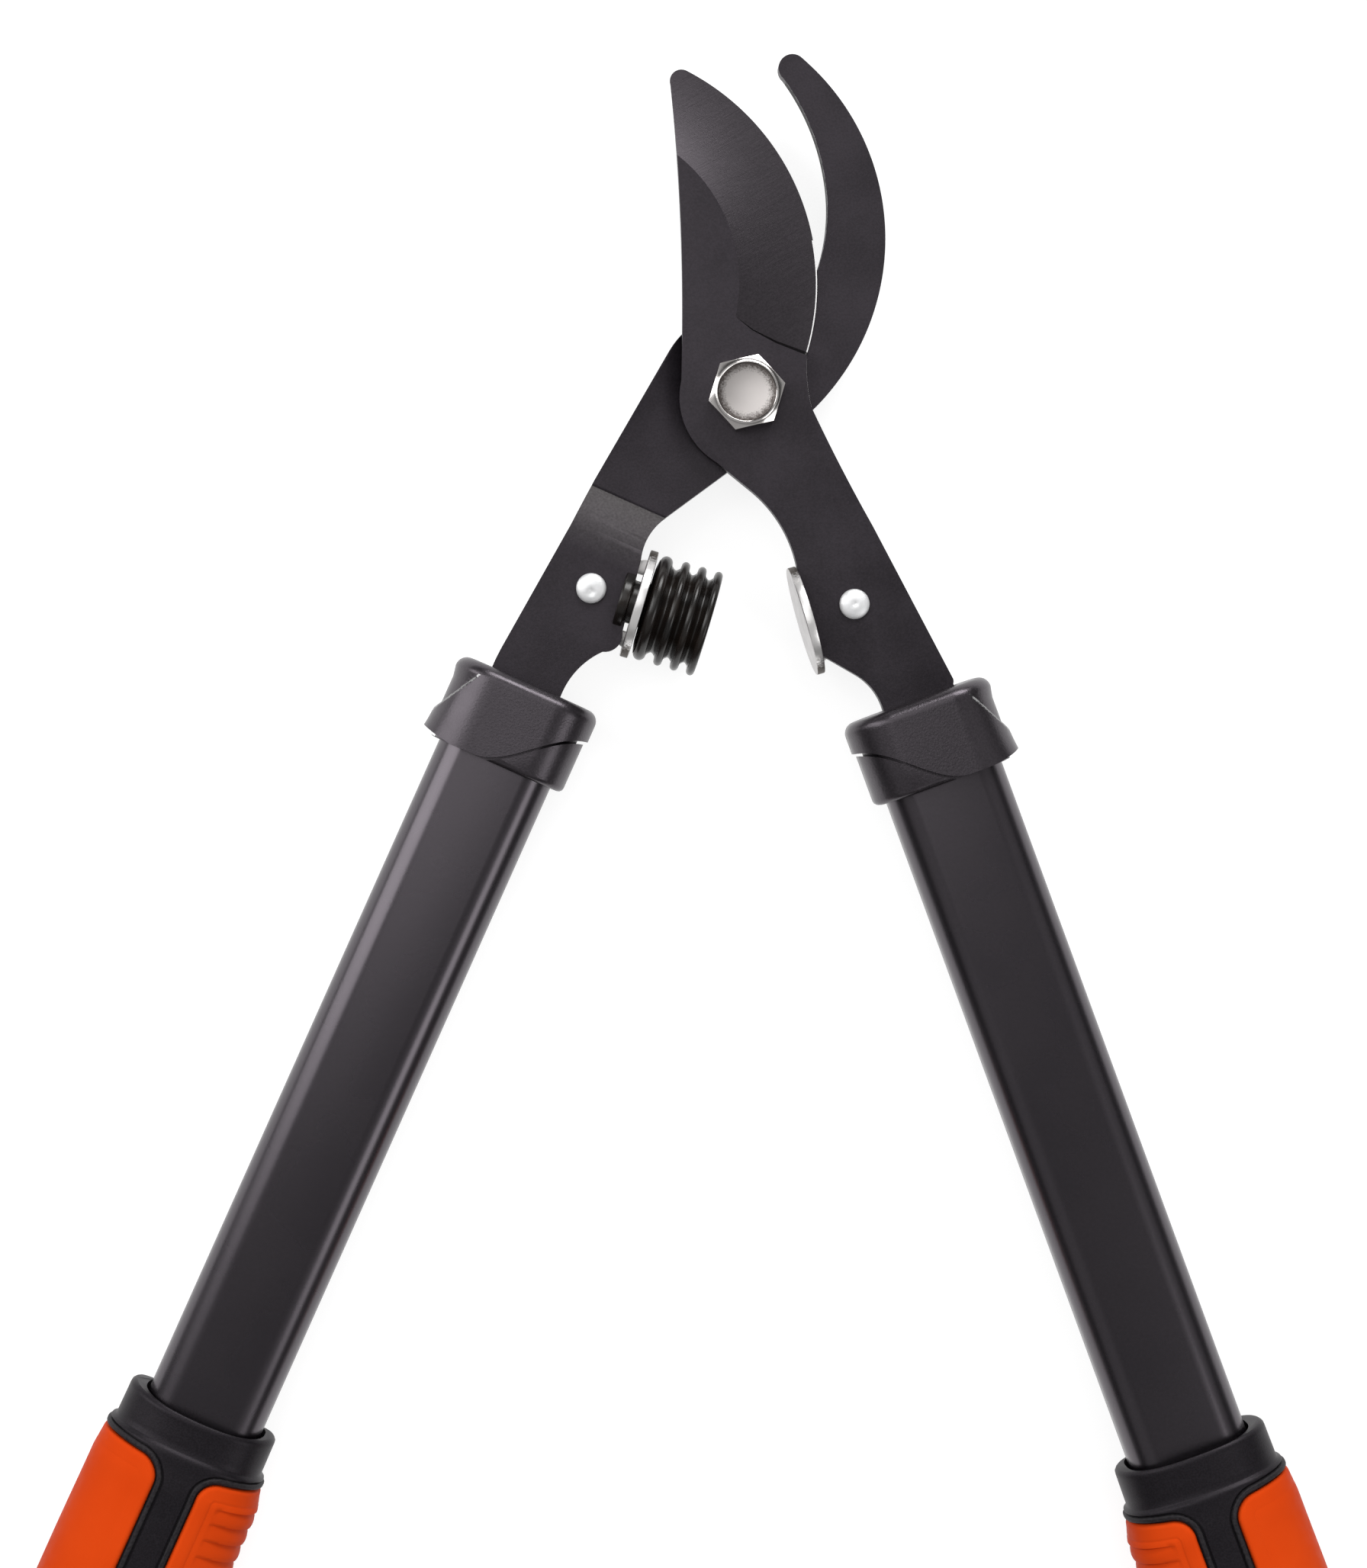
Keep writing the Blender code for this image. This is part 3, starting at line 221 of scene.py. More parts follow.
def coated_steel(name="black_blade_coat", ramp=None):
    """Black low-friction coat over rolled steel: satin, finely orange-peeled; duller on the hook's
    ramp, with a painted highlight there, a lighter brown fading down from the ramp's foot; the
    ramp's foot and end are heights along the tang."""
    finish = Finish(name, "blade_coating", (0.008, 0.0066, 0.0085), 0.44, specular=0.46,
                    sheen=VIOLET)
    grain, cloud = finish.noise(1700, 3), finish.noise(70)
    colour = finish.blend(finish.spread(finish.sum(grain, cloud), start=0.75, end=1.25),
                          (0.0030, 0.0024, 0.0034), (0.0130, 0.0108, 0.0138))
    gloss = finish.spread(cloud, 0.40, 0.49)
    if ramp:
        turn, foot, end = ramp
        along = finish.add("SeparateXYZ", {0: finish.mapped(turn=turn)}, "Y")
        fading = finish.spread(along, 0, 1, end, foot)
        below = finish.spread(along, 1, 0, foot - 0.0001, foot + 0.0001)
        # painted highlight on the ramp: full at its foot, fading to nothing at its end
        ramp_highlight = finish.add("Math", {0: fading, 1: below}, operation="MULTIPLY")
        brown = finish.blend(finish.spread(grain), (0.050, 0.047, 0.046), (0.085, 0.081, 0.080))
        colour = finish.blend(ramp_highlight, colour, brown)
        gloss = finish.sum(gloss, ramp_highlight, 0.30)
    finish.feed(colour, "Base Color")
    finish.feed(gloss, "Roughness")
    finish.bump(grain, 0.34, 0.00010)
    return finish


def ground_steel():
    """The same coat over the hollow-ground face, with fine lines across it."""
    finish = Finish("ground_blade_coat", "blade_coating", (0.010, 0.009, 0.010), 0.38,
                    specular=0.65, sheen=VIOLET)
    lines = finish.noise(900, place=finish.mapped((0.10, 3.2, 1), math.radians(-30)))
    grain = finish.noise(1700)
    finish.speckled(grain, (0.005, 0.0043, 0.005), (0.014, 0.0122, 0.014))
    finish.satin(lines, 0.33, 0.41)
    finish.bump(finish.sum(grain, lines, 1.2), 0.16, 0.00008)
    return finish


def painted_shade_finish():
    """Near-black coat that hardly reflects, on the jaw's chamfer and on the wall at the grind's
    foot: painted shade.
    """
    finish = Finish("blade_coat_painted_shade", "blade_coating", (0.002, 0.0018, 0.002), 0.34,
                    specular=0.02)
    finish.satin(finish.noise(900, 3), 0.30, 0.40)
    finish.bump(finish.noise(500, 3), 0.2, 0.00010)
    return finish


def worn_and_lit_edge():
    """Grey scuffed coat: worn along the outer line of the jaw chamfer, and a painted highlight on
    the tang's front outer edge.
    """
    finish = Finish("worn_jaw_edge_and_tang_highlight", "blade_coating", (0.26, 0.25, 0.26), 0.45, 0.2)
    scuffs = finish.noise(700, 4)
    finish.speckled(scuffs, (0.07, 0.066, 0.072), (0.40, 0.39, 0.40), 0.40, 0.60)
    finish.bump(scuffs, 0.5, 0.00012)
    return finish


def honed_glint_edge():
    """Bare line along the cutting edge, painted near white as a glint, brighter than bare steel.
    """
    finish = Finish("honed_cutting_edge_painted_glint", "blade_coating", (0.86, 0.85, 0.85), 0.40, 0.3)
    lines = finish.noise(2200, 3)
    finish.satin(lines, 0.3, 0.5)
    finish.bump(lines, 0.2, 0.00005)
    return finish


def nickel():
    finish = Finish("satin_nickel", "bright_nickel", (0.80, 0.765, 0.745), 0.17, 1.0)
    haze = finish.noise(300)
    finish.satin(haze, 0.14, 0.20)
    finish.speckled(haze, (0.78, 0.74, 0.72), (0.83, 0.80, 0.785))
    return finish


def pressed_nickel():
    """Satin dish of the bolt head, pebbled and darker towards its rim."""
    finish = Finish("pressed_nickel", "bright_nickel", (0.80, 0.755, 0.735), 0.36, 1.0)
    middle = (PIVOT.x, PIVOT.y, PIVOT.z + BLADE_TOP + HEAD_HEIGHT)
    away = finish.add("VectorMath", {0: finish.place, 1: middle}, "Value",
                      operation="DISTANCE")
    pebbles = finish.noise(2300, 3, roughness=0.7)
    finish.speckled(finish.sum(away, pebbles, 0.0040), (0.60, 0.565, 0.55),
                    (0.12, 0.105, 0.098), 0.0073, 0.0088)
    finish.satin(pebbles, 0.32, 0.40)
    finish.bump(pebbles, 0.12, 0.00010)
    return finish


def plated_steel():
    """Zinc plate of the discs' faces, the washer and the nut."""
    finish = Finish("zinc_plate", "zinc_plate", (0.56, 0.545, 0.54), 0.33, 1.0)
    haze = finish.noise(260, 4)
    finish.satin(haze, 0.27, 0.42)
    finish.bump(haze, 0.12, 0.0001)
    return finish


def sheared_rim():
    """Plated rim of a stamped disc, torn in patches, with painted light: bright near its top, and
    dark lower down as painted shade.
    """
    finish = Finish("sheared_rim", "zinc_plate", (0.8, 0.78, 0.77), 0.30, 0.75)
    torn = finish.noise(1300, 5, roughness=0.75)
    height = finish.add("SeparateXYZ", {0: finish.place}, "Z")
    low = PIVOT.z + TANG_MIDDLE + 0.0055
    # painted light: brighter the higher the rim stands, painted shade lower down
    facing = finish.spread(height, 0.0, 0.60, low, low + 0.0065)
    torn_and_lit_share = finish.spread(finish.sum(torn, facing), start=0.60, end=0.85)
    finish.feed(finish.blend(torn_and_lit_share, (0.10, 0.085, 0.075), (0.90, 0.885, 0.875)), "Base Color")
    finish.feed(finish.spread(torn_and_lit_share, 0.5, 0.28, 0, 1), "Roughness")
    finish.bump(torn, 0.20, 0.00012)
    return finish


def rivet_metal():
    finish = Finish("satin_aluminium", "rivet_aluminium", (0.92, 0.92, 0.93), 0.46, 0.6)
    haze = finish.noise(600, 4)
    finish.satin(haze, 0.42, 0.50)
    finish.speckled(haze, (0.84, 0.845, 0.85), (0.91, 0.91, 0.92))
    finish.bump(finish.noise(1500, 3), 0.12, 0.00008)
    return finish


def bumper_rubber():
    """Black rubber with a faint brown bloom in patches."""
    finish = Finish("black_rubber", "bumper_rubber", (0.008, 0.006, 0.005), 0.30)
    finish.speckled(finish.noise(180, 3), (0.0050, 0.0040, 0.0036), (0.0120, 0.0080, 0.0062))
    finish.satin(finish.noise(300), 0.25, 0.30)
    finish.bump(finish.noise(900), 0.08, 0.00006)
    return finish


def moulded_plastic():
    """Black moulded plastic of the ferrules, with a fine spark-eroded texture."""
    finish = Finish("textured_black_plastic", "moulded_black", (0.010, 0.0088, 0.010), 0.42,
                    specular=0.65, sheen=VIOLET, index=1.6)
    grain = finish.noise(1900)
    finish.speckled(grain, (0.0040, 0.0034, 0.0042), (0.0150, 0.0130, 0.0152))
    finish.satin(finish.noise(90), 0.29, 0.35)
    finish.bump(grain, 0.40, 0.00010)
    return finish


def polished_plastic():
    """Ledge of the ferrule's crease, left glossy by the mould."""
    finish = Finish("glossy_black_plastic", "moulded_black", (0.02, 0.018, 0.02), 0.16,
                    specular=1.0, index=2.0)
    finish.satin(finish.noise(600), 0.13, 0.20)
    return finish


def grip_plastic():
    """Black plastic of the grip's collar and strips, darker and finer than the ferrules."""
    finish = Finish("smooth_black_plastic", "moulded_black", (0.006, 0.0053, 0.0066), 0.44,
                    specular=0.26, sheen=VIOLET)
    grain = finish.noise(2300)
    finish.speckled(grain, (0.0030, 0.0026, 0.0034), (0.0100, 0.0088, 0.0110))
    finish.satin(finish.noise(80), 0.40, 0.47)
    finish.bump(grain, 0.30, 0.00008)
    return finish


def bead_plastic():
    """The bead round a pad, which is etched coarser than the rest of the grip."""
    finish = Finish("etched_black_plastic", "moulded_black", (0.015, 0.014, 0.015), 0.58,
                    specular=0.26, sheen=VIOLET)
    grain = finish.noise(1500, 3)
    finish.speckled(grain, (0.0060, 0.0056, 0.0062), (0.0230, 0.0218, 0.0230))
    finish.satin(grain, 0.52, 0.64)
    finish.bump(grain, 0.5, 0.00012)
    return finish


def powder_coat():
    """Satin black powder coat on the tubes."""
    finish = Finish("satin_black_powder_coat", "tube_paint", (0.005, 0.0043, 0.0054), 0.34,
                    specular=0.85, sheen=VIOLET, index=1.6)
    finish.speckled(finish.noise(1400), (0.0020, 0.0017, 0.0023), (0.0060, 0.0050, 0.0064))
    finish.satin(finish.noise(60), 0.265, 0.285)
    finish.bump(finish.noise(750), 0.08, 0.00008)
    return finish


def orange_pad():
    """Soft orange overmould: matte, with a faint blush of paler dust."""
    finish = Finish("orange_overmould", "pad_orange", (0.72, 0.062, 0.006), 0.60,
                    specular=0.15, sheen=(1.0, 0.30, 0.08))
    finish.speckled(finish.noise(45, 3), (0.65, 0.052, 0.0045), (0.71, 0.063, 0.0062))
    finish.satin(finish.noise(400, 3), 0.50, 0.62)
    finish.bump(finish.noise(1700, 3), 0.18, 0.00008)
    return finish


def plain_nylon():
    finish = Finish("lock_nylon", "lock_nylon", (0.10, 0.14, 0.30), 0.45)
    finish.satin(finish.noise(800), 0.4, 0.5)
    return finish


def bare_steel():
    finish = Finish("bare_pin_steel", "bare_steel", (0.42, 0.41, 0.40), 0.36, 1.0)
    finish.satin(finish.noise(700, 3), 0.3, 0.45)
    return finish


COAT = coated_steel()
HOOK_TURN = -HOOK_HALF.turn
RAMP_FOOT = PIVOT.x * math.sin(HOOK_TURN) + PIVOT.y * math.cos(HOOK_TURN) - JOGGLE_START
HOOK_COAT = coated_steel("black_hook_coat", (HOOK_TURN, RAMP_FOOT, RAMP_FOOT - 0.0165))
GROUND = ground_steel()
PAINTED_SHADE = painted_shade_finish()
WORN_AND_LIT = worn_and_lit_edge()
HONED_GLINT = honed_glint_edge()
NICKEL = nickel()
PRESSED = pressed_nickel()
ZINC = plated_steel()
SHEARED = sheared_rim()
ALUMINIUM = rivet_metal()
RUBBER = bumper_rubber()
PLASTIC = moulded_plastic()
POLISHED = polished_plastic()
GRIP_PLASTIC = grip_plastic()
ETCHED = bead_plastic()
PAINT = powder_coat()
ORANGE = orange_pad()
NYLON = plain_nylon()
STEEL = bare_steel()


# Shared modelling tools

def polar(radius, angle):
    return radius * Vector((math.cos(angle), math.sin(angle)))


def arc(start, middle, end, steps):
    """Points after start, up to end, on the circle through all three."""
    a, b, c = Vector(start), Vector(middle), Vector(end)
    ab, ac = b - a, c - a
    cross = 2 * (ab.x * ac.y - ab.y * ac.x)
    offset = Vector((ac.y * ab.length_squared - ab.y * ac.length_squared,
                     ab.x * ac.length_squared - ac.x * ab.length_squared)) / cross
    centre = a + offset
    first = math.atan2(a.y - centre.y, a.x - centre.x)
    sweep = math.atan2(c.y - centre.y, c.x - centre.x) - first
    if cross > 0 and sweep < 0:
        sweep += math.tau
    if cross < 0 and sweep > 0:
        sweep -= math.tau
    return [centre + polar(offset.length, first + sweep * step / steps)
            for step in range(1, steps + 1)]


def traced(outline, legs):
    """Lengthen an outline by its legs. A leg is a point, or (middle, end, steps) of an arc
    from the last point, or (start, middle, end, steps) of one with a start of its own."""
    for leg in legs:
        if len(leg) == 2:
            outline.append(Vector(leg))
        else:
            outline += arc(*leg) if len(leg) == 4 else arc(outline[-1], *leg)
    return outline


def circle_arc(centre, radius, first, last, steps):
    """Points of an arc about a centre, both ends included."""
    angles = [math.radians(first + (last - first) * step / steps) for step in range(steps + 1)]
    return [centre + polar(radius, angle) for angle in angles]


def leaning(angle, along_x, along_y=0.0):
    return Matrix.Rotation(angle, 2) @ Vector((along_x, along_y))


def clamped(share):
    return min(max(share, 0.0), 1.0)


def eased(share):
    """A share from 0 to 1 that starts and ends gently."""
    share = clamped(share)
    return share * share * (3 - 2 * share)


def facing_out(shape):
    bmesh.ops.recalc_face_normals(shape, faces=shape.faces)
    return shape


def prism(outline, bottom, top):
    """A flat outline, extruded from bottom to top."""
    shape = bmesh.new()
    face = shape.faces.new([shape.verts.new((p[0], p[1], bottom)) for p in outline])
    grown = bmesh.ops.extrude_face_region(shape, geom=[face])["geom"]
    risen = [item for item in grown if isinstance(item, bmesh.types.BMVert)]
    bmesh.ops.translate(shape, verts=risen, vec=(0, 0, top - bottom))
    return facing_out(shape)


def turned(profile, steps=72):
    """A profile of (radius, height) points, spun about Z."""
    shape = bmesh.new()
    points = [shape.verts.new((radius, 0, height)) for radius, height in profile]
    edges = [shape.edges.new(pair) for pair in zip(points, points[1:])]
    bmesh.ops.spin(shape, geom=points + edges, cent=(0, 0, 0), axis=(0, 0, 1),
                   angle=math.tau, steps=steps, use_merge=True)
    bmesh.ops.remove_doubles(shape, verts=shape.verts, dist=1e-6)
    return facing_out(shape)


def rounded(corners, radius, steps=5):
    """A profile with its corners rounded; the first and last points stay sharp."""
    points = [Vector(corners[0])]
    for before, corner, after in zip(corners, corners[1:], corners[2:]):
        corner = Vector(corner)
        run_in, run_out = corner - Vector(before), Vector(after) - corner
        reach = min(radius, run_in.length * 0.48, run_out.length * 0.48)
        start = corner - run_in.normalized() * reach
        end = corner + run_out.normalized() * reach
        for step in range(steps + 1):
            t = step / steps
            points.append(start * (1 - t) ** 2 + corner * 2 * t * (1 - t) + end * t ** 2)
    return points + [Vector(corners[-1])]


def loft(rings, closed_ends=True):
    """A grid that is wrapped round into a tube through rings of points."""
    around, along = len(rings[0]), len(rings) - 1
    shape = bmesh.new()
    bmesh.ops.create_grid(shape, x_segments=around, y_segments=along, size=0.5)
    for vert in shape.verts:
        column = round((vert.co.x + 0.5) * around) % around
        row = round((vert.co.y + 0.5) * along)
        vert.co = rings[row][column]
    bmesh.ops.remove_doubles(shape, verts=shape.verts, dist=1e-7)
    if closed_ends:
        rim = [edge for edge in shape.edges if edge.is_boundary]
        bmesh.ops.holes_fill(shape, edges=rim)
    return facing_out(shape)


def combined(shape, tool, operation="DIFFERENCE"):
    """What an exact Boolean leaves of two shapes."""
    stock = []
    for part in (shape, tool):
        mesh = bpy.data.meshes.new("stock")
        facing_out(part).to_mesh(mesh)
        part.free()
        stock.append(bpy.data.objects.new("stock", mesh))
        bpy.context.collection.objects.link(stock[-1])
    cut = stock[0].modifiers.new("cut", "BOOLEAN")
    cut.operation = operation
    cut.solver = "EXACT"
    cut.object = stock[1]
    bpy.context.view_layer.update()
    graph = bpy.context.evaluated_depsgraph_get()
    result = bmesh.new()
    result.from_mesh(stock[0].evaluated_get(graph).data)
    for piece in stock:
        mesh = piece.data
        bpy.data.objects.remove(piece)
        bpy.data.meshes.remove(mesh)
    bmesh.ops.remove_doubles(result, verts=result.verts, dist=1e-6)
    return result


def everything(shape):
    return shape.verts[:] + shape.edges[:] + shape.faces[:]


def bevel(shape, edges, width, steps=1):
    """Bevel some edges of a shape, and give the new faces."""
    return bmesh.ops.bevel(shape, geom=edges, offset=width, offset_type="OFFSET",
                           segments=steps, profile=0.5, affect="EDGES", material=-1,
                           clamp_overlap=True)["faces"]


def soften(shape, width, steps=2, least=30, keep=None):
    """Round the sharp edges of a shape, apart from those that keep() names."""
    bmesh.ops.dissolve_limit(shape, angle_limit=math.radians(0.2), verts=shape.verts,
                             edges=shape.edges)
    sharp = [edge for edge in shape.edges
             if len(edge.link_faces) == 2 and edge.calc_face_angle() > math.radians(least)
             and not (keep and keep(edge))]
    bevel(shape, sharp, width, steps)


def show(name, shape, half, finish, nodes=(), smooth_angle=35, others=(), matrix=None):
    """Put a finished shape in its place, on its half, for the nodes that it stands for."""
    place = half.matrix if matrix is None else matrix
    bmesh.ops.transform(shape, matrix=place, verts=shape.verts)
    facing_out(shape)
    limit = math.radians(smooth_angle)
    for face in shape.faces:
        face.smooth = True
    for edge in shape.edges:
        finishes = {face.material_index for face in edge.link_faces}
        edge.smooth = len(finishes) == 1 and edge.calc_face_angle(0) < limit
    mesh = bpy.data.meshes.new(name)
    shape.to_mesh(mesh)
    shape.free()
    for used in (finish, *others):
        mesh.materials.append(used.material)
    piece = bpy.data.objects.new(name, mesh)
    bpy.context.collection.objects.link(piece)
    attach(piece, half.body)
    if nodes:
        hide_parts(*nodes)


def paint(shape, index, chosen):
    """Give the faces that chosen() picks another of the piece's materials."""
    for face in shape.faces:
        if chosen(face):
            face.material_index = index


def refinish(node, finish):
    """A better material for a solid that stays as it is."""
    piece = frame["nodes"][node]
    piece.data.materials.clear()
    piece.data.materials.append(finish.material)


# Cutting blade

STRIKE_AT = Vector((-0.0064, -0.0585))
STRIKE_LEAN = math.radians(4.2)
DISC_THICKNESS = 0.0022
STEP_SLANT = 0.34             # how far the step's wall leans out for its depth
STEP_LINE = ((0.0039, 0.0196), (0.0070, 0.0144), (0.0114, 0.0094), (0.0179, 0.0036))


def blade_outline():
    """The cutting edge, then the heel, the tang and the spine back to the tip."""
    inner, outer = BLADE_HALF.tang_edges()
    edge = circle_arc(EDGE_CENTRE, EDGE_RADIUS, *EDGE_ANGLES, 90)
    seat = STRIKE_AT + leaning(-STRIKE_LEAN, DISC_THICKNESS + CLEARANCE)
    return traced(list(edge), [
        ((0.0154, -0.0028), (0.0143, -0.0089), 12),
        ((0.0159, -0.0240), (0.0185, -0.0421), 10),
        ((outer + 0.0004, -0.0846), (outer + 0.0003, -0.0856), (outer, -0.0862), 4),
        (outer, -TANG_END),
        (inner, -TANG_END),
        (inner, -0.0862),
        ((0.0036, -0.0786), (0.0017, -0.0757), 12),
        seat + leaning(-STRIKE_LEAN, 0, -0.0095),
        seat + leaning(-STRIKE_LEAN, 0, 0.0130),
        ((-0.0034, -0.0323), (-0.0076, -0.0224), 18),
        (-0.0129, -0.0135),
        ((-0.01705, -0.0025), (-0.0140, 0.0088), 20),
        ((-0.0010, 0.0446), (0.0092, 0.0800), 30),
        ((0.0108, 0.0825), edge[0], 10)])[:-1]


def grinding_wheel():
    """Sector that takes the hollow face off the front of the blade."""
    inner, beyond = EDGE_RADIUS - GRIND_WIDTH, EDGE_RADIUS + 0.004
    low, above = BLADE_BASE + EDGE_LAND, BLADE_TOP + 0.004
    start, sweep = math.radians(-62), math.radians(152)
    steps = 10
    sag = [(inner + GRIND_WIDTH * t,
            BLADE_TOP - GRIND_STEP * (1 - t) + (low - BLADE_TOP) * t
            - 4 * GRIND_HOLLOW * t * (1 - t))
           for t in [step / steps for step in range(steps)] + [1 - HONED_STRIP / GRIND_WIDTH, 1]]
    profile = sag + [(beyond, low - GRIND_HOLLOW), (beyond, above), (inner, above)]
    centre = Vector((*EDGE_CENTRE, 0))
    shape = bmesh.new()
    shape.faces.new([shape.verts.new(centre + Vector((r, 0, z))) for r, z in profile])
    bmesh.ops.rotate(shape, cent=centre, matrix=Matrix.Rotation(start, 3, "Z"),
                     verts=shape.verts)
    bmesh.ops.spin(shape, geom=everything(shape), cent=centre, axis=(0, 0, 1), angle=sweep,
                   steps=110)
    facing_out(shape)
    for start_at, end_at in zip(STEP_LINE, STEP_LINE[1:]):
        run = Vector(end_at) - Vector(start_at)
        cut = bmesh.ops.bisect_plane(
            shape, geom=everything(shape), plane_co=(*start_at, BLADE_TOP),
            plane_no=(-run.y, run.x, STEP_SLANT * run.length), clear_inner=True)
        rim = [item for item in cut["geom_cut"] if isinstance(item, bmesh.types.BMEdge)]
        bmesh.ops.holes_fill(shape, edges=rim)
    return facing_out(shape)


def is_cut_rim(edge):
    """True for the edges of the ground face, which stay crisp."""
    middle = (edge.verts[0].co + edge.verts[1].co) / 2
    radius = (middle.xy - EDGE_CENTRE).length
    step_x, step_y = STEP_LINE[0]
    above_step = middle.y > step_y - 0.0001 or middle.x - step_x > (step_y - middle.y) * 0.80
    return radius > EDGE_RADIUS - GRIND_WIDTH - 0.0002 and middle.y > GRIND_HEEL and above_step


def blade_finish(face):
    """Which finish a face of the blade has: coat 0, ground 1, honed edge with a painted glint 2,
    step's wall in painted shade 3.
    """
    middle = face.calc_center_median()
    radius = (middle.xy - EDGE_CENTRE).length
    slope = face.normal.z
    # the step's wall below the ground face: painted shade
    if (0.15 < slope < 0.60 and GRIND_HEEL < middle.y < 0.0197 and middle.x > 0.003
            and radius < EDGE_RADIUS - 0.0006):
        return 3
    # honed edge, painted near white as a glint
    if (radius > EDGE_RADIUS - HONED_STRIP and GLINT_FROM < middle.y < GLINT_TO
            and middle.z > BLADE_BASE + EDGE_LAND - 0.001):
        return 2
    below_front = middle.z < BLADE_TOP - 0.00001
    in_grind = radius > EDGE_RADIUS - GRIND_WIDTH and middle.y > GRIND_HEEL + 0.0005
    return 1 if 0.03 < slope < 0.9995 and below_front and in_grind else 0


def cutting_blade():
    blade = combined(prism(blade_outline(), BLADE_BASE, BLADE_TOP), grinding_wheel())
    soften(blade, SPINE_ROUNDING, 4, 40, is_cut_rim)
    low, near = BLADE_BASE + EDGE_LAND, 0.00003
    cutting_line = [edge for edge in blade.edges
                    if all((vert.co.xy - EDGE_CENTRE).length > EDGE_RADIUS - near
                           and abs(vert.co.z - low) < near for vert in edge.verts)]
    bevel(blade, cutting_line, 0.00032)
    for face in blade.faces:
        face.material_index = blade_finish(face)
    show("coated_cutting_blade", blade, BLADE_HALF, COAT, ["cutting_blade"], 30,
         (GROUND, HONED_GLINT, PAINTED_SHADE))


# Hook

def hook_outline():
    """The tip, the hook's outer arc, the tang, and the boss up to the jaw's foot."""
    inner, outer = HOOK_HALF.tang_edges()
    tip_outer = Vector((-0.0217, 0.0837))
    outline = [HOOK_TIP] + arc(HOOK_TIP, (-0.0262, 0.0814), tip_outer, 16)
    run = tip_outer - HOOK_CENTRE
    first = math.degrees(math.atan2(run.y, run.x))
    outline += circle_arc(HOOK_CENTRE, HOOK_RADIUS, first, -37.7, 90)[1:]
    traced(outline, [
        (-0.0057, -0.0362),
        ((-0.00774, -0.0438), (-0.0070, -0.0488), 12),
        (-0.0039, -0.0671),
        ((-0.0034, -0.0706), (-0.0064, -0.0737), 10),
        ((-0.0104, -0.0806), (inner, -0.0880), 12),
        (inner, -TANG_END),
        (outer, -TANG_END),
        (outer, -0.0862),
        (-0.0300, -0.0834),
        (-0.0267, -0.0477),
        (-0.0260, -0.0352)])
    outline += circle_arc(Vector((0, 0)), BOSS_RADIUS, 174, 93, 36)
    return traced(outline, [((0.0020, 0.0243), (0.0039, 0.0294), 8)])


def hook_inner_edge(start):
    lower = arc(start, (0.0029, 0.0417), (-0.0038, 0.0579), 30)
    upper = arc(lower[-1], (-0.0130, 0.0690), HOOK_TIP, 26)
    return lower + upper[:-1]


def lift(station):
    """Height of the joggle at a station along the tang: a crisp foot and a soft shoulder."""
    run = clamped((station - JOGGLE_START) / JOGGLE_LENGTH)
    groove = clamped(1 - abs(station - JOGGLE_START) / FOLD_WIDTH)
    return (PLATE + CLEARANCE) * (1 - (1 - run) ** 1.9) - FOLD_DEPTH * groove ** 2


def is_tang_rim(face, outer):
    """True for the front edge of the tang's outer side, which gets a painted highlight."""
    middle = face.calc_center_median()
    if not JOGGLE_START < -middle.y < FERRULE_TOP or abs(face.normal.x) < 0.3:
        return False
    return middle.x < outer + 0.005 and 0.35 < face.normal.z < 0.97


def spot(point):
    """x and y to the nearest micron, to find a point of an outline again."""
    return round(point[0], 6), round(point[1], 6)


def hook_plate():
    outline = hook_outline()
    inner_edge = hook_inner_edge(outline[-1])
    front = HOOK_BASE + PLATE
    shape = prism(outline + inner_edge, HOOK_BASE, front)
    jaw_spots = {spot(point) for point in inner_edge}

    def on_front(edge):
        return all(abs(vert.co.z - front) < 1e-6 for vert in edge.verts)

    jaw = [edge for edge in shape.edges
           if on_front(edge) and all(spot(vert.co) in jaw_spots for vert in edge.verts)]
    bands = bevel(shape, jaw, HOOK_CHAMFER)
    for vert in {vert for face in bands for vert in face.verts}:
        if vert.co.z < front - HOOK_CHAMFER / 2:
            vert.co.z = front - HOOK_CHAMFER_DEPTH
    # the jaw's chamfer and side wall get the near-black coat: painted shade
    for face in bands:
        face.material_index = 1
    paint(shape, 1, lambda face: abs(face.normal.z) < 0.1
          and all(spot(vert.co) in jaw_spots for vert in face.verts))
    border = [edge for edge in shape.edges
              if {face.material_index for face in edge.link_faces} == {0, 1} and on_front(edge)]
    for face in bevel(shape, border, RUBBED_WIDTH):
        face.material_index = 2
    soften(shape, 0.0003, 3, 60)
    fold = [JOGGLE_START - FOLD_WIDTH + FOLD_WIDTH / 5 * step for step in range(11)]
    ramp = [JOGGLE_START + JOGGLE_LENGTH * (step / 16) ** 1.2 for step in range(3, 17)]
    for station in fold + ramp:
        bmesh.ops.bisect_plane(shape, geom=everything(shape), plane_co=(0, -station, 0),
                               plane_no=(0, 1, 0))
    for vert in shape.verts:
        vert.co.z += lift(-vert.co.y)
    outer = HOOK_HALF.tang_edges()[1]
    # painted highlight along the tang's outer front edge
    paint(shape, 2, lambda face: is_tang_rim(face, outer))
    show("coated_hook", shape, HOOK_HALF, HOOK_COAT, ["hook_plate"], 14, (PAINTED_SHADE, WORN_AND_LIT))


# Pivot hardware

def hexagon(width, turn):
    return [polar(width / math.sqrt(3), turn + corner * math.pi / 3) for corner in range(6)]


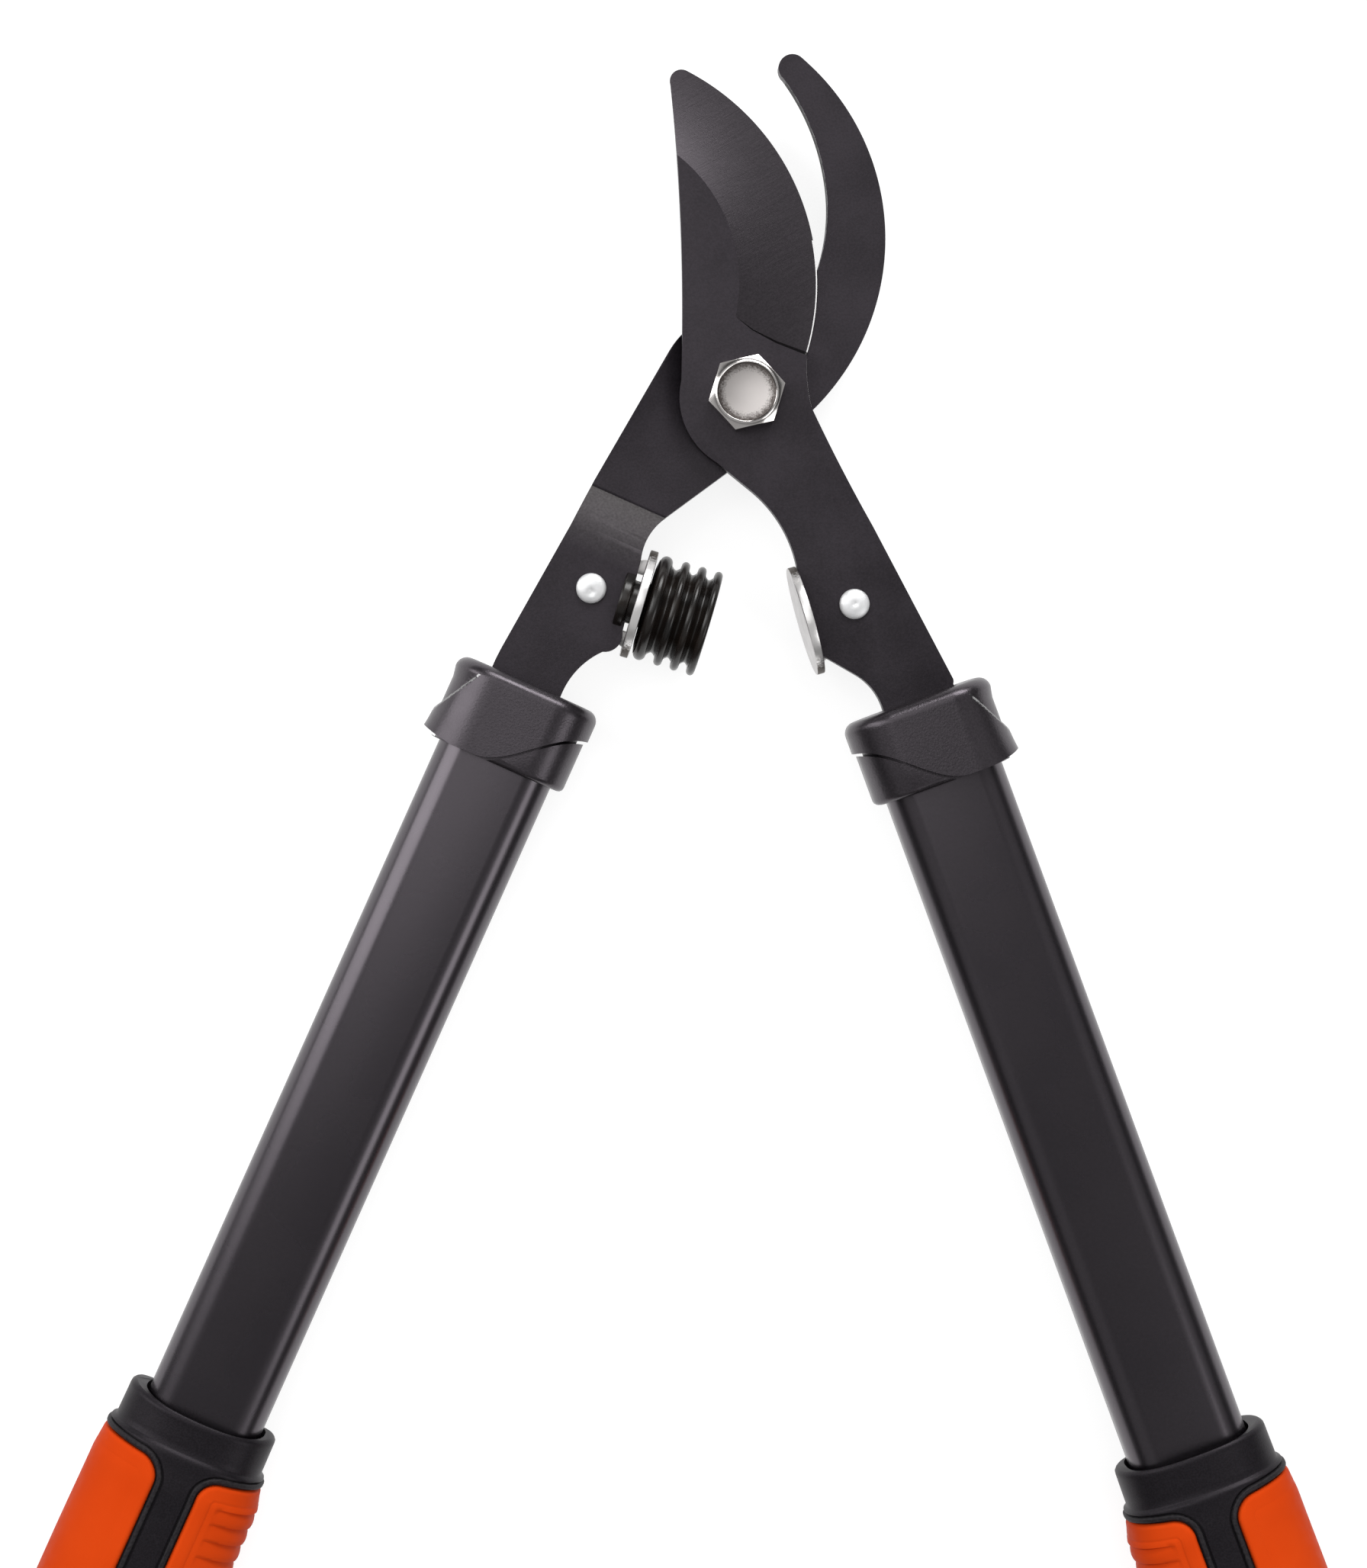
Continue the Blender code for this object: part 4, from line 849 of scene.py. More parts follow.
def pivot_bolt():
    """Chamfered hexagon head with a pebbled step round a shallow round dish."""
    seat = BLADE_TOP + CLEARANCE
    top = seat + HEAD_HEIGHT
    corner = HEAD_WIDTH / math.sqrt(3) + 0.0002
    chamfer = [(corner, top - 0.00118), (HEAD_WIDTH / 2 - 0.00015, top - 0.00050),
               (HEAD_WIDTH / 2 - 0.0005, top - 0.0002), (DISH_RADIUS + 0.0003, top - 0.00002),
               (DISH_RADIUS + 0.0001, top), (DISH_RADIUS, top - 0.00006)]
    step = DISH_RADIUS - 0.0007
    bowl = [(step * share, top - 0.00030 - (DISH_DEPTH - 0.00030) * (1 - share ** 2))
            for share in (1 - place / 14 for place in range(15))]
    head = turned([(0, seat), (corner, seat)] + chamfer
                  + [(DISH_RADIUS - 0.0002, top - 0.00022)] + bowl, 120)
    bolt = combined(head, prism(hexagon(HEAD_WIDTH, HEAD_TURN), seat - 0.001, top + 0.001),
                    "INTERSECT")
    tip = NUT_END - 0.0002
    stem = turned([(0, tip), (BOLT_RADIUS - 0.0008, tip), (BOLT_RADIUS, tip + 0.0008),
                   (BOLT_RADIUS, seat + 0.001), (0, seat + 0.001)], 60)
    bolt = combined(bolt, stem, "UNION")
    paint(bolt, 1, lambda face: face.calc_center_median().xy.length < DISH_RADIUS - 0.00005
          and face.calc_center_median().z > top - DISH_DEPTH - 0.0001)
    show("hexagon_pivot_bolt", bolt, HOOK_HALF, NICKEL, ["pivot_bolt"], 24, (PRESSED,))


def pivot_washer():
    bore, rim = BOLT_RADIUS + CLEARANCE, 0.0105
    low = WASHER_FACE - WASHER_THICKNESS
    corners = [(bore, low), (rim, low), (rim, WASHER_FACE), (bore, WASHER_FACE), (bore, low)]
    show("flat_pivot_washer", turned(rounded(corners, 0.0003, 3)), HOOK_HALF, ZINC,
         ["pivot_washer"])


def pivot_nut():
    """Hexagon lock nut whose round collar is rolled over a nylon ring."""
    bore = BOLT_RADIUS + CLEARANCE
    low = NUT_FACE - NUT_HEIGHT
    flat, corner, collar = HEAD_WIDTH / 2, HEAD_WIDTH / math.sqrt(3) + 0.0002, 0.0075
    pocket = bore + 0.0013 + CLEARANCE
    profile = [(bore, NUT_FACE), (flat - 0.0003, NUT_FACE), (corner, NUT_FACE - 0.0012),
               (corner, low + 0.0010), (flat - 0.0002, low)]
    profile += rounded([(flat - 0.0002, low), (collar, low), (collar, NUT_END),
                        (pocket - 0.0003, NUT_END), (pocket, NUT_END + 0.0005),
                        (pocket, low)], 0.0007, 4)[1:]
    profile += [(bore, low), (bore, NUT_FACE)]
    sides = prism(hexagon(HEAD_WIDTH, 0), NUT_END - 0.001, NUT_FACE + 0.001)
    nut = combined(turned(profile, 96), sides, "INTERSECT")
    show("hexagon_lock_nut", nut, HOOK_HALF, ZINC, ["pivot_nut"], 30)
    refinish("nut_lock_ring", NYLON)


# Rivets, discs and the rubber bumper

RIVET_HEAD = 0.0038
RIVET_SHANK = 0.00225
BUMPER_AT = Vector((-0.0029, -0.0590))
BUMPER_LEAN = math.radians(7.4)
BUMPER_RIVET_AT = Vector((-0.0155, -0.0604))
STRIKE_RIVET_AT = Vector((0.0074, -0.0589))
DISC_RADIUS = 0.0139
LEG_TOP = BLADE_BASE - CLEARANCE
LEG_END_RADIUS = 0.0065
LEG_ROOT = 0.0120            # half the leg's width at the disc


def rivet(name, half, at, node, dimple_at, dimple):
    """Domed rivet with the small dimple that its setting tool leaves."""
    front = BLADE_TOP + CLEARANCE
    back = LEG_TOP - CLEARANCE - DISC_THICKNESS
    dome = [(RIVET_HEAD * math.cos(t), front + 0.0004 + 0.0013 * math.sin(t))
            for t in (math.radians(9 * step) for step in range(10))]
    profile = [(0, back - 0.0012)] + rounded(
        [(0.001, back - 0.0012), (RIVET_HEAD, back - 0.0012), (RIVET_HEAD, back),
         (RIVET_SHANK, back), (RIVET_SHANK, front), (RIVET_HEAD, front),
         (RIVET_HEAD, front + 0.0004)], 0.0003, 3)
    shape = turned(profile + dome[1:-1] + [(0.0004, front + 0.0017), (0, front + 0.0017)], 48)
    for vert in shape.verts:
        away = (vert.co.xy - Vector(dimple_at)).length
        if vert.co.z > front + 0.0008 and away < dimple:
            vert.co.z -= 0.00022 * (1 + math.cos(math.pi * away / dimple))
    show(name, shape, half, ALUMINIUM, [node], 40,
         matrix=half.matrix @ Matrix.Translation((*at, 0)))


def across_tool(shape, at, lean):
    """Lay a shape that was turned about Z along an axis across the handle."""
    matrix = (Matrix.Translation((*at, TANG_MIDDLE)) @ Matrix.Rotation(lean, 4, "Z")
              @ Matrix.Rotation(math.pi / 2, 4, "Y"))
    bmesh.ops.transform(shape, matrix=matrix, verts=shape.verts)
    return shape


def tail_slot(front, bottom, top):
    """Gap in the bumper bracket's leg for the buttoned tail of the bumper."""
    back, side = -0.0055, 0.0074
    corners = ((back, -side), (front, -side), (front, side), (back, side))
    return prism([BUMPER_AT + leaning(BUMPER_LEAN, *corner) for corner in corners], bottom, top)


def bracket(name, half, node, at, lean, rivet_at, slotted):
    """Stamped disc that stands across the handle on a leg behind the tang."""
    half_thick = DISC_THICKNESS / 2
    corners = [(0, -half_thick), (DISC_RADIUS, -half_thick), (DISC_RADIUS, half_thick),
               (0, half_thick)]
    disc = across_tool(turned(rounded(corners, 0.0004, 3), 96), at, lean)
    run = rivet_at - at
    toward = math.degrees(math.atan2(run.y, run.x))
    end = circle_arc(rivet_at, LEG_END_RADIUS, toward - 90, toward + 90, 24)
    root = leaning(lean, 0, LEG_ROOT)
    if root.dot(leaning(math.radians(toward), 0, 1)) < 0:
        root = -root
    leg = prism(end + [at + root, at - root], LEG_TOP - DISC_THICKNESS, LEG_TOP)
    if slotted:
        leg = combined(leg, tail_slot(0.0005, LEG_TOP - 0.004, LEG_TOP + 0.001))
    soften(leg, 0.00025, 2, 60)
    shape = combined(disc, leg, "UNION")
    facing, along = leaning(lean, 1), leaning(lean, 0, 1)

    def on_rim(face):
        away = face.calc_center_median() - Vector((*at, TANG_MIDDLE))
        radius = Vector((away.xy.dot(along), away.z)).length
        return radius > DISC_RADIUS - 0.0003 and abs(face.normal.xy.dot(facing)) < 0.5

    # the rim: painted light near its top, painted shade lower down
    paint(shape, 1, on_rim)
    show(name, shape, half, ZINC, [node], 40, (SHEARED,))


def bumper_profile():
    """Half section along the axis: buttoned tail, base flange and three thin flanges."""
    core, rim = 0.0106, 0.01355
    disc = DISC_THICKNESS / 2 + CLEARANCE
    tail_face = -DISC_THICKNESS / 2 - 0.0016
    tail_end = tail_face - 0.0025
    profile = rounded([(0, tail_end), (0.0071, tail_end), (0.0071, tail_face),
                       (0.0055, tail_face), (0.0055, disc), (core - 0.001, disc),
                       (rim - 0.0012, disc + 0.0005)], 0.0006, 4)
    start = disc + 0.0006
    for pitch, width in ((0.0055, 0.0032), (0.0043, 0.0021), (0.0043, 0.0021), (None, 0.0020)):
        end = start + width
        round_over = width / 2
        for turn in (math.pi * step / 12 for step in range(13)):
            profile.append((rim - round_over * (1 - math.sin(turn)),
                            (start + end) / 2 - round_over * math.cos(turn)))
        if pitch:
            following = start + pitch
            profile += rounded([(rim - 0.0020, end + 0.0001), (core, (end + following) / 2),
                                (rim - 0.0020, following - 0.0001)], 0.0006, 3)
            start = following
    return profile + rounded([(rim - 0.0012, end), (0.008, end), (0.0, end - 0.0003)], 0.0004, 3)


def rubber_bumper():
    shape = across_tool(turned(bumper_profile(), 120), BUMPER_AT, BUMPER_LEAN)
    show("ribbed_rubber_bumper", shape, HOOK_HALF, RUBBER, ["rubber_bumper"], 50)


# Handles

def rounded_box(half_width, half_height, radius, steps):
    """Points of a rectangle with round corners, about the origin."""
    across, along = half_width - radius, half_height - radius
    points = []
    for quarter, (a, b) in enumerate(((1, 1), (-1, 1), (-1, -1), (1, -1))):
        for step in range(steps + 1):
            angle = (quarter + step / steps) * math.pi / 2
            points.append((a * across + radius * math.cos(angle),
                           b * along + radius * math.sin(angle)))
    return points


def oval_ring(half_width, half_depth, corner, station, inset=0.0, steps=10):
    """Ring of a flat-sided oval across a handle at one station."""
    radius = max(corner - inset, 0.0004)
    section = rounded_box(half_width - inset, half_depth - inset, radius, steps)
    return [Vector((x, -station, z)) for x, z in section]


def handle_tube(side, half):
    top = FERRULE_TOP + FERRULE_ROOF + CLEARANCE
    corners = ((top, 0.0), (TUBE_END, 0.0), (TUBE_END, TUBE_WALL), (top, TUBE_WALL), (top, 0.0))
    rings = [oval_ring(*TUBE_OVAL, station, inset) for station, inset in corners]
    show(side + "_painted_tube", loft(rings, False), half, PAINT, [side + "_tube"],
         matrix=half.bench)
    refinish(side + "_tang_insert", PLASTIC)
    refinish(side + "_tube_pin", STEEL)


# Ferrules: a cap with a waved lower edge over a plain sleeve
SLEEVE_WALL = 0.0028
SLEEVE_LENGTH = 0.0218
CAP_WALL = 0.0036
CAP_LENGTH = 0.0074          # at the inner side, where the wave starts
CAP_ROUNDING = 0.0030        # of the cap's top, along the handle
CAP_EDGE = 0.0030            # of the cap's top, across the handle
CAP_FLARE = 0.0015
WAVE_START = 0.0205          # inwards of the tube's axis
WAVE_WIDTH = 0.0265
WAVE_DROP = 0.0143
OUTER_RISE = 0.0019          # of the wave's end, at the outer side
CREASE_TOP = (0.0118, 0.0917)      # x and station
CREASE_END = (0.0205, 0.1062)
LEDGE_WIDTH = 0.0009
LEDGE_DEPTH = 0.00055
GROOVE_WIDTH = 0.0008
GROOVE_DEPTH = 0.0017
SLOT_MARGIN = 0.0010         # beside the tang, in the roof's slot
WELL_CLEAR = 0.03            # outside a handle on every side


def wave(across):
    """Station of the cap's lower edge, which dips from the inner side out."""
    run = clamped((across + WAVE_START) / WAVE_WIDTH)
    rise = OUTER_RISE * clamped((across - 0.010) / 0.011) ** 2
    return FERRULE_TOP + CAP_LENGTH + WAVE_DROP * (1 - math.cos(math.pi * run)) / 2 - rise


def ferrule_ring(station, wall, inset=0.0):
    grown = CLEARANCE + wall
    return oval_ring(TUBE_WIDTH / 2 + grown, TUBE_DEPTH / 2 + grown, TUBE_CORNER + grown,
                     station, inset, 60)


def crease_x(station):
    """x of the crease's line at a station."""
    (x0, s0), (x1, s1) = CREASE_TOP, CREASE_END
    return x0 + (x1 - x0) * (station - s0) / (s1 - s0)


def cap_ring(station):
    """Ring of the cap's wall: scooped behind the crease and flared below it."""
    first, last = CREASE_TOP[1], CREASE_END[1]
    along = clamped((station - first) / (last - first))
    depth = min(1.7 * math.sin(math.pi * along), 1)
    run = (station - FERRULE_TOP) / (CAP_LENGTH + WAVE_DROP)
    flare = CAP_FLARE * run * (0.6 + 0.4 * run ** 6)
    half_width = TUBE_WIDTH / 2 + CLEARANCE + CAP_WALL
    ring = []
    for plain, scooped in zip(ferrule_ring(station, CAP_WALL),
                              ferrule_ring(station, CAP_WALL - LEDGE_DEPTH)):
        behind = eased((plain.x - crease_x(station)) / LEDGE_WIDTH)
        point = plain.lerp(scooped, behind * depth)
        point.x += flare * eased((plain.x / half_width - 0.45) / 0.5) * (1 - behind)
        ring.append(point)
    return ring


def cap_rings(end):
    """A rounded top, then the wall."""
    turns = [math.pi / 2 * (1 - step / 8) for step in range(9)]
    rings = [ferrule_ring(FERRULE_TOP + CAP_ROUNDING * (1 - math.sin(t)), CAP_WALL,
                          CAP_EDGE * (1 - math.cos(t))) for t in turns]
    start = FERRULE_TOP + CAP_ROUNDING
    count = round((end - start) / 0.0003)
    return rings + [cap_ring(start + (end - start) * step / count) for step in range(1, count + 1)]


def wave_line():
    """Points of the cap's lower edge, from well inside the handle to well outside."""
    places = [WELL_CLEAR * (step / 48 - 1) for step in range(97)]
    return [(x, -wave(x)) for x in places]


def wave_groove(end):
    """Undercut that parts the cap's lower edge from the sleeve."""
    upper = wave_line()
    lower = [(x, y - GROOVE_WIDTH) for x, y in reversed(upper)]
    kept = loft([ferrule_ring(FERRULE_TOP - 0.002, SLEEVE_WALL - GROOVE_DEPTH),
                 ferrule_ring(end + 0.005, SLEEVE_WALL - GROOVE_DEPTH)])
    return combined(prism(upper + lower, -WELL_CLEAR, WELL_CLEAR), kept)


def is_ledge(face):
    """True for the narrow ledge along the crease, which shines."""
    middle = face.calc_center_median()
    across = (middle.x - crease_x(-middle.y)) / LEDGE_WIDTH
    return (CREASE_TOP[1] < -middle.y < CREASE_END[1] and middle.z > TANG_MIDDLE
            and 0.25 < across < 0.85)


def ferrule(side, half):
    """Slotted cap with a waved edge and a crease on its outer side, on a plain sleeve."""
    skirt_end = FERRULE_TOP + CAP_LENGTH + WAVE_DROP + 0.001
    beyond = -skirt_end - 0.004
    below_wave = wave_line() + [(WELL_CLEAR, beyond), (-WELL_CLEAR, beyond)]
    cap = combined(loft(cap_rings(skirt_end)), prism(below_wave, -WELL_CLEAR, WELL_CLEAR))
    sleeve_end = FERRULE_TOP + SLEEVE_LENGTH
    rounding = ((0.0014, 0.0), (0.0007, 0.0002), (0.0002, 0.0007), (0.0, 0.0014))
    sleeve = loft([ferrule_ring(FERRULE_TOP + CAP_ROUNDING, SLEEVE_WALL)]
                  + [ferrule_ring(sleeve_end - back, SLEEVE_WALL, inset)
                     for back, inset in rounding])
    cap = combined(cap, combined(sleeve, wave_groove(sleeve_end)), "UNION")
    cap = combined(cap, loft([ferrule_ring(FERRULE_TOP + FERRULE_ROOF, 0.0),
                              ferrule_ring(skirt_end + 0.005, 0.0)]))
    low = TANG_SHIFT - TANG_HALF_WIDTH - SLOT_MARGIN
    high = TANG_SHIFT + TANG_HALF_WIDTH + SLOT_MARGIN
    above, below = -FERRULE_TOP + 0.002, -FERRULE_TOP - 0.005
    slot_half = PLATE / 2 + CLEARANCE
    cap = combined(cap, prism([(low, above), (high, above), (high, below), (low, below)],
                              -slot_half, slot_half))
    paint(cap, 1, is_ledge)
    bmesh.ops.translate(cap, verts=cap.verts, vec=(0, half.ferrule_rise, 0))
    show(side + "_moulded_ferrule", cap, half, PLASTIC, [side + "_ferrule"], 40, (POLISHED,),
         half.bench)


# Grips

def grip_sections():
    """(distance from the grip's top, half width, half depth, shift) down the grip."""
    collar, collar_depth, shift = COLLAR_HALF_WIDTH, COLLAR_HALF_DEPTH, COLLAR_SHIFT
    body, body_depth = GRIP_WIDTH / 2, GRIP_DEPTH / 2
    neck, butt = GRIP_LENGTH - 0.0240, 0.0250
    return [
        (0.0, collar - 0.0011, collar_depth - 0.0004, shift),
        (0.0003, collar - 0.0006, collar_depth - 0.0002, shift),
        (0.0009, collar - 0.0001, collar_depth, shift),
        (0.0016, collar, collar_depth, shift),
        (0.0098, collar + 0.0001, collar_depth + 0.0003, shift),
        (0.0102, collar + 0.0004, collar_depth + 0.0005, shift),
        (0.0106, collar + 0.0011, collar_depth + 0.0009, shift),
        (0.0112, collar + 0.0013, collar_depth + 0.0011, shift),
        (0.0132, collar + 0.0013, collar_depth + 0.0012, shift),
        (0.0205, body - 0.0002, body_depth - 0.0012, 0),
        (0.0450, body, body_depth, 0),
        (neck - 0.0060, body, body_depth, 0),
        (neck + 0.0140, butt - 0.0002, body_depth, 0),
        (neck + 0.0170, butt, body_depth, 0),
        (GRIP_LENGTH - 0.0030, butt - 0.0008, body_depth - 0.0005, 0),
        (GRIP_LENGTH - 0.0012, butt - 0.0018, body_depth - 0.0015, 0),
        (GRIP_LENGTH - 0.0003, butt - 0.0034, body_depth - 0.0029, 0),
        (GRIP_LENGTH, butt - 0.0050, body_depth - 0.0042, 0),
    ]


SECTIONS = grip_sections()


def grip_size(run):
    """Half width, half depth and shift of the grip at a distance from its top."""
    for (a, *low), (b, *high) in zip(SECTIONS, SECTIONS[1:]):
        if run <= b:
            share = eased((run - a) / (b - a))
            return [x + (y - x) * share for x, y in zip(low, high)]
    return SECTIONS[-1][1:]


def looked_up(places, values, place):
    """Value at a place, on straight lines between those of a rising row of places."""
    above = min(max(bisect.bisect_left(places, place), 1), len(places) - 1)
    low, high = values[above - 1:above + 1]
    start, end = places[above - 1:above + 1]
    return low + (high - low) * (min(max(place, start), end) - start) / (end - start)


def quarter_lengths(steps=400):
    """Lengths along the grip's section from the middle of its front, and each one's x."""
    lengths, across = [0.0], [0.0]
    last = Vector((0, GRIP_DEPTH / 2))
    for step in range(1, steps + 1):
        angle = math.pi / 2 * step / steps
        point = Vector((GRIP_WIDTH / 2 * math.sin(angle) ** (2 / SQUARENESS),
                        GRIP_DEPTH / 2 * max(math.cos(angle), 0) ** (2 / SQUARENESS)))
        lengths.append(lengths[-1] + (point - last).length)
        across.append(point.x)
        last = point
    return lengths, across


QUARTER_LENGTHS, QUARTER_X = quarter_lengths()
QUARTER = QUARTER_LENGTHS[-1]


def grip_point(top, length, run, height=0.0):
    """Place on the skin of a grip whose top is at a station: a signed length round
    from the middle of the front, a run from the top, and a height above the skin."""
    side = 1 if length >= 0 else -1
    length = abs(length)
    front = length <= QUARTER
    start_x = looked_up(QUARTER_LENGTHS, QUARTER_X, length if front else 2 * QUARTER - length)
    half_width, half_depth, shift = grip_size(run)
    share = start_x / (GRIP_WIDTH / 2)
    x = start_x * (1 + (half_width / (GRIP_WIDTH / 2) - 1) * share ** 2)
    across = min(x / half_width, 1.0)
    through = max(1 - across ** SQUARENESS, 0.0) ** (1 / SQUARENESS)
    slope = Vector((across ** (SQUARENESS - 1) / half_width,
                    through ** (SQUARENESS - 1) / half_depth)).normalized()
    z = through * half_depth + slope.y * height
    return Vector((side * (x + slope.x * height) + shift, -top - run, z if front else -z))


# Pads; 1 stands for the outer side of a handle and -1 for the inner one
PAD_TOP = 0.0132
PAD_DIP = 0.0012             # lower beside the strip than at the side
PAD_DIP_RUN = 0.014
PAD_LENGTH = 0.1276
PAD_CORNER = 0.0052
PAD_HEIGHT = 0.0004
PAD_THICKNESS = 0.0024
PAD_ROUNDING = 0.0011
STRIP = {1: 0.0042, -1: 0.0071}    # x of the pad's edge
PANEL_SUNK = {1: 0.00008, -1: 0.00022}
PAD_POCKET_GAP = 0.0002
ABOVE_SKIN = 0.0020          # height of a pocket's tool over the grip


class PadPlan:
    """Rounded rectangle of one pad, unrolled: lengths round the grip, and runs."""

    def __init__(self, grip_top, side, grow=0.0):
        self.grip_top = grip_top
        self.side = side
        self.reach = QUARTER - looked_up(QUARTER_X, QUARTER_LENGTHS, STRIP[side]) + grow
        self.top = PAD_TOP - grow
        self.end = PAD_TOP + PAD_LENGTH + grow
        self.corner = PAD_CORNER + grow
        self.middle = (self.top + self.end) / 2
        self.half_run = (self.end - self.top) / 2

    def depth(self, point):
        """Distance inside the outline, below 0 outside it."""
        over = Vector((abs(point.x) - self.reach + self.corner,
                       abs(point.y - self.middle) - self.half_run + self.corner))
        outside = Vector((max(over.x, 0), max(over.y, 0))).length
        return self.corner - outside - min(max(over.x, over.y), 0)

    def place(self, point, height):
        along = abs(point.x) / self.reach
        dip = PAD_DIP * along ** 2 * max(1 - (point.y - self.top) / PAD_DIP_RUN, 0)
        return grip_point(self.grip_top, self.side * (QUARTER + point.x), point.y + dip, height)


def unrolled(plan, insets, columns, rows):
    """Flat sheet of a plan, inset in rings from its outline and slit into a grid."""
    shape = bmesh.new()
    outline = rounded_box(plan.reach, plan.half_run, plan.corner, 12)
    face = shape.faces.new([shape.verts.new((x, plan.middle + y, 0)) for x, y in outline])
    for inset in insets:
        bmesh.ops.inset_region(shape, faces=[face], thickness=inset, use_even_offset=True,
                               use_boundary=True)
    for places, normal in ((columns, (1, 0, 0)), (rows, (0, 1, 0))):
        for place in places:
            bmesh.ops.bisect_plane(shape, geom=everything(shape), dist=1e-6,
                                   plane_co=Vector(normal) * place, plane_no=normal)
    return shape


def evenly(first, last, step):
    count = max(round((last - first) / step), 1)
    return [first + (last - first) * place / count for place in range(1, count)]


def wrapped(shape, plan, outer, inner):
    """Thicken a flat sheet and lay it on the grip, between a height for each place
    and one for the whole back."""
    grown = bmesh.ops.extrude_face_region(shape, geom=shape.faces[:])["geom"]
    raised = {item for item in grown if isinstance(item, bmesh.types.BMVert)}
    for vert in shape.verts:
        point = vert.co.xy.copy()
        height = outer(point, max(plan.depth(point), 0)) if vert in raised else inner
        vert.co = plan.place(point, height)
    return facing_out(shape)


RIB_PITCH = 0.0044
RIB_COUNT = 19
RIB_START = 0.0056           # below the top of the pad
RIB_DEPTH = 0.0009
PANEL_EDGE = 0.0041
RIB_END = 0.0015             # a rib's blunt end, inside the panel's line
RIB_PLACES = (0.0, 0.06, 0.34, 0.40, 0.60, 0.78, 0.93, 1.0)
RIB_SUNK = (1.0, 0.93, 0.42, 0.30, 0.06, 0.0, 0.12, 1.0)


def rib_height(plan, point, depth):
    """Shingled ribs inside the panel; each rises, breaks at an edge and drops at its lip."""
    run = point.y - plan.top - RIB_START
    if depth <= PANEL_EDGE or run < 0 or run > RIB_COUNT * RIB_PITCH:
        return 0.0
    sunk = looked_up(RIB_PLACES, RIB_SUNK, (run / RIB_PITCH) % 1.0)
    side = plan.reach - abs(point.x) - PANEL_EDGE - RIB_END
    return -RIB_DEPTH * sunk * clamped(side / 0.0005) * (0.22 + 0.78 * clamped(side / 0.0085))


def pad_grid(plan, sign):
    """Columns and rows of a pad's grid; those of an inner pad follow its ribs."""
    columns = evenly(-plan.reach, plan.reach, 0.0013)
    if sign > 0:
        return columns, evenly(plan.top, plan.end, 0.0016)
    first = plan.top + RIB_START
    last = first + RIB_PITCH * RIB_COUNT
    rows = evenly(plan.top, first - 0.0001, 0.0012)
    rows += [last, last + 0.0001] + evenly(last + 0.0001, plan.end, 0.0012)
    rows += [first + RIB_PITCH * (rib + part) for rib in range(RIB_COUNT) for part in RIB_PLACES]
    columns += [place * (plan.reach - PANEL_EDGE - RIB_END - inset)
                for place in (-1, 1) for inset in (0.0, 0.0005)]
    return columns, rows


def pad(side, half, name, sign):
    """Soft pad with a rounded rim and a panel line; the inner one has ribs."""
    plan = PadPlan(half.grip_top, sign)

    def skin(point, depth):
        share = min(depth / PAD_ROUNDING, 1)
        height = PAD_HEIGHT - PAD_ROUNDING * (1 - math.sqrt(max(1 - (1 - share) ** 2, 0)))
        height -= PANEL_SUNK[sign] * max(0, 1 - abs(depth - PANEL_EDGE) / 0.0003)
        return height if sign > 0 else height + rib_height(plan, point, depth)

    insets = (0.00015, 0.00025, 0.0003, 0.0004, 0.0027, 0.0003, 0.0003)
    shape = unrolled(plan, insets, *pad_grid(plan, sign))
    wrapped(shape, plan, skin, PAD_HEIGHT - PAD_THICKNESS)
    show(f"{side}_{name}_soft_pad", shape, half, ORANGE, [f"{side}_{name}_pad"], 50,
         matrix=half.bench)


BEAD_WIDTH = 0.0015
BEAD_RISE = 0.0004
BEAD_FOOT = 0.0009           # depth of the bead's sides
BEAD_BED = -0.0008           # floor of its pocket in the core
BEAD_BACK = -0.0014
BEAD_GROOVE = 0.0005         # between the bead and the strip
PAD_SEAM = 0.0004            # between the bead and the pad


def bead(side, half, name, sign):
    """Rounded bead that frames a pad, moulded with the core."""
    plan = PadPlan(half.grip_top, sign, BEAD_WIDTH + PAD_SEAM)
    steps = 8
    shape = unrolled(plan, [BEAD_WIDTH / steps] * steps, evenly(-plan.reach, plan.reach, 0.0022),
                     evenly(plan.top, plan.end, 0.0040))
    inside = [face for face in shape.faces
              if plan.depth(face.calc_center_median().xy) > BEAD_WIDTH]
    bmesh.ops.delete(shape, geom=inside, context="FACES")

    def ridge(_, depth):
        across = min(depth / BEAD_WIDTH, 1) * 2 - 1
        return -BEAD_FOOT + (BEAD_RISE + BEAD_FOOT) * max(1 - abs(across) ** 5, 0) ** 0.5

    wrapped(shape, plan, ridge, BEAD_BACK)
    show(f"{side}_{name}_pad_bead", shape, half, ETCHED, (), 50, matrix=half.bench)


def mouth_ring(station, grow=0.0):
    """Rounder than the tube, so that a dark gap shows in front of it."""
    across, deep, power = 0.0161 + grow, 0.0127 + grow, 2.8
    ring = []
    for step in range(64):
        angle = math.tau * step / 64
        c, s = math.cos(angle), math.sin(angle)
        ring.append(Vector((math.copysign(abs(c) ** (2 / power), c) * across, -station,
                            math.copysign(abs(s) ** (2 / power), s) * deep)))
    return ring


MOUTH_SINK_RUN = 0.0090


def mouth_sink(half, height):
    """How far the collar's rim lies below its sides, in front and behind."""
    return half.mouth_dip * (height / COLLAR_HALF_DEPTH) ** 2


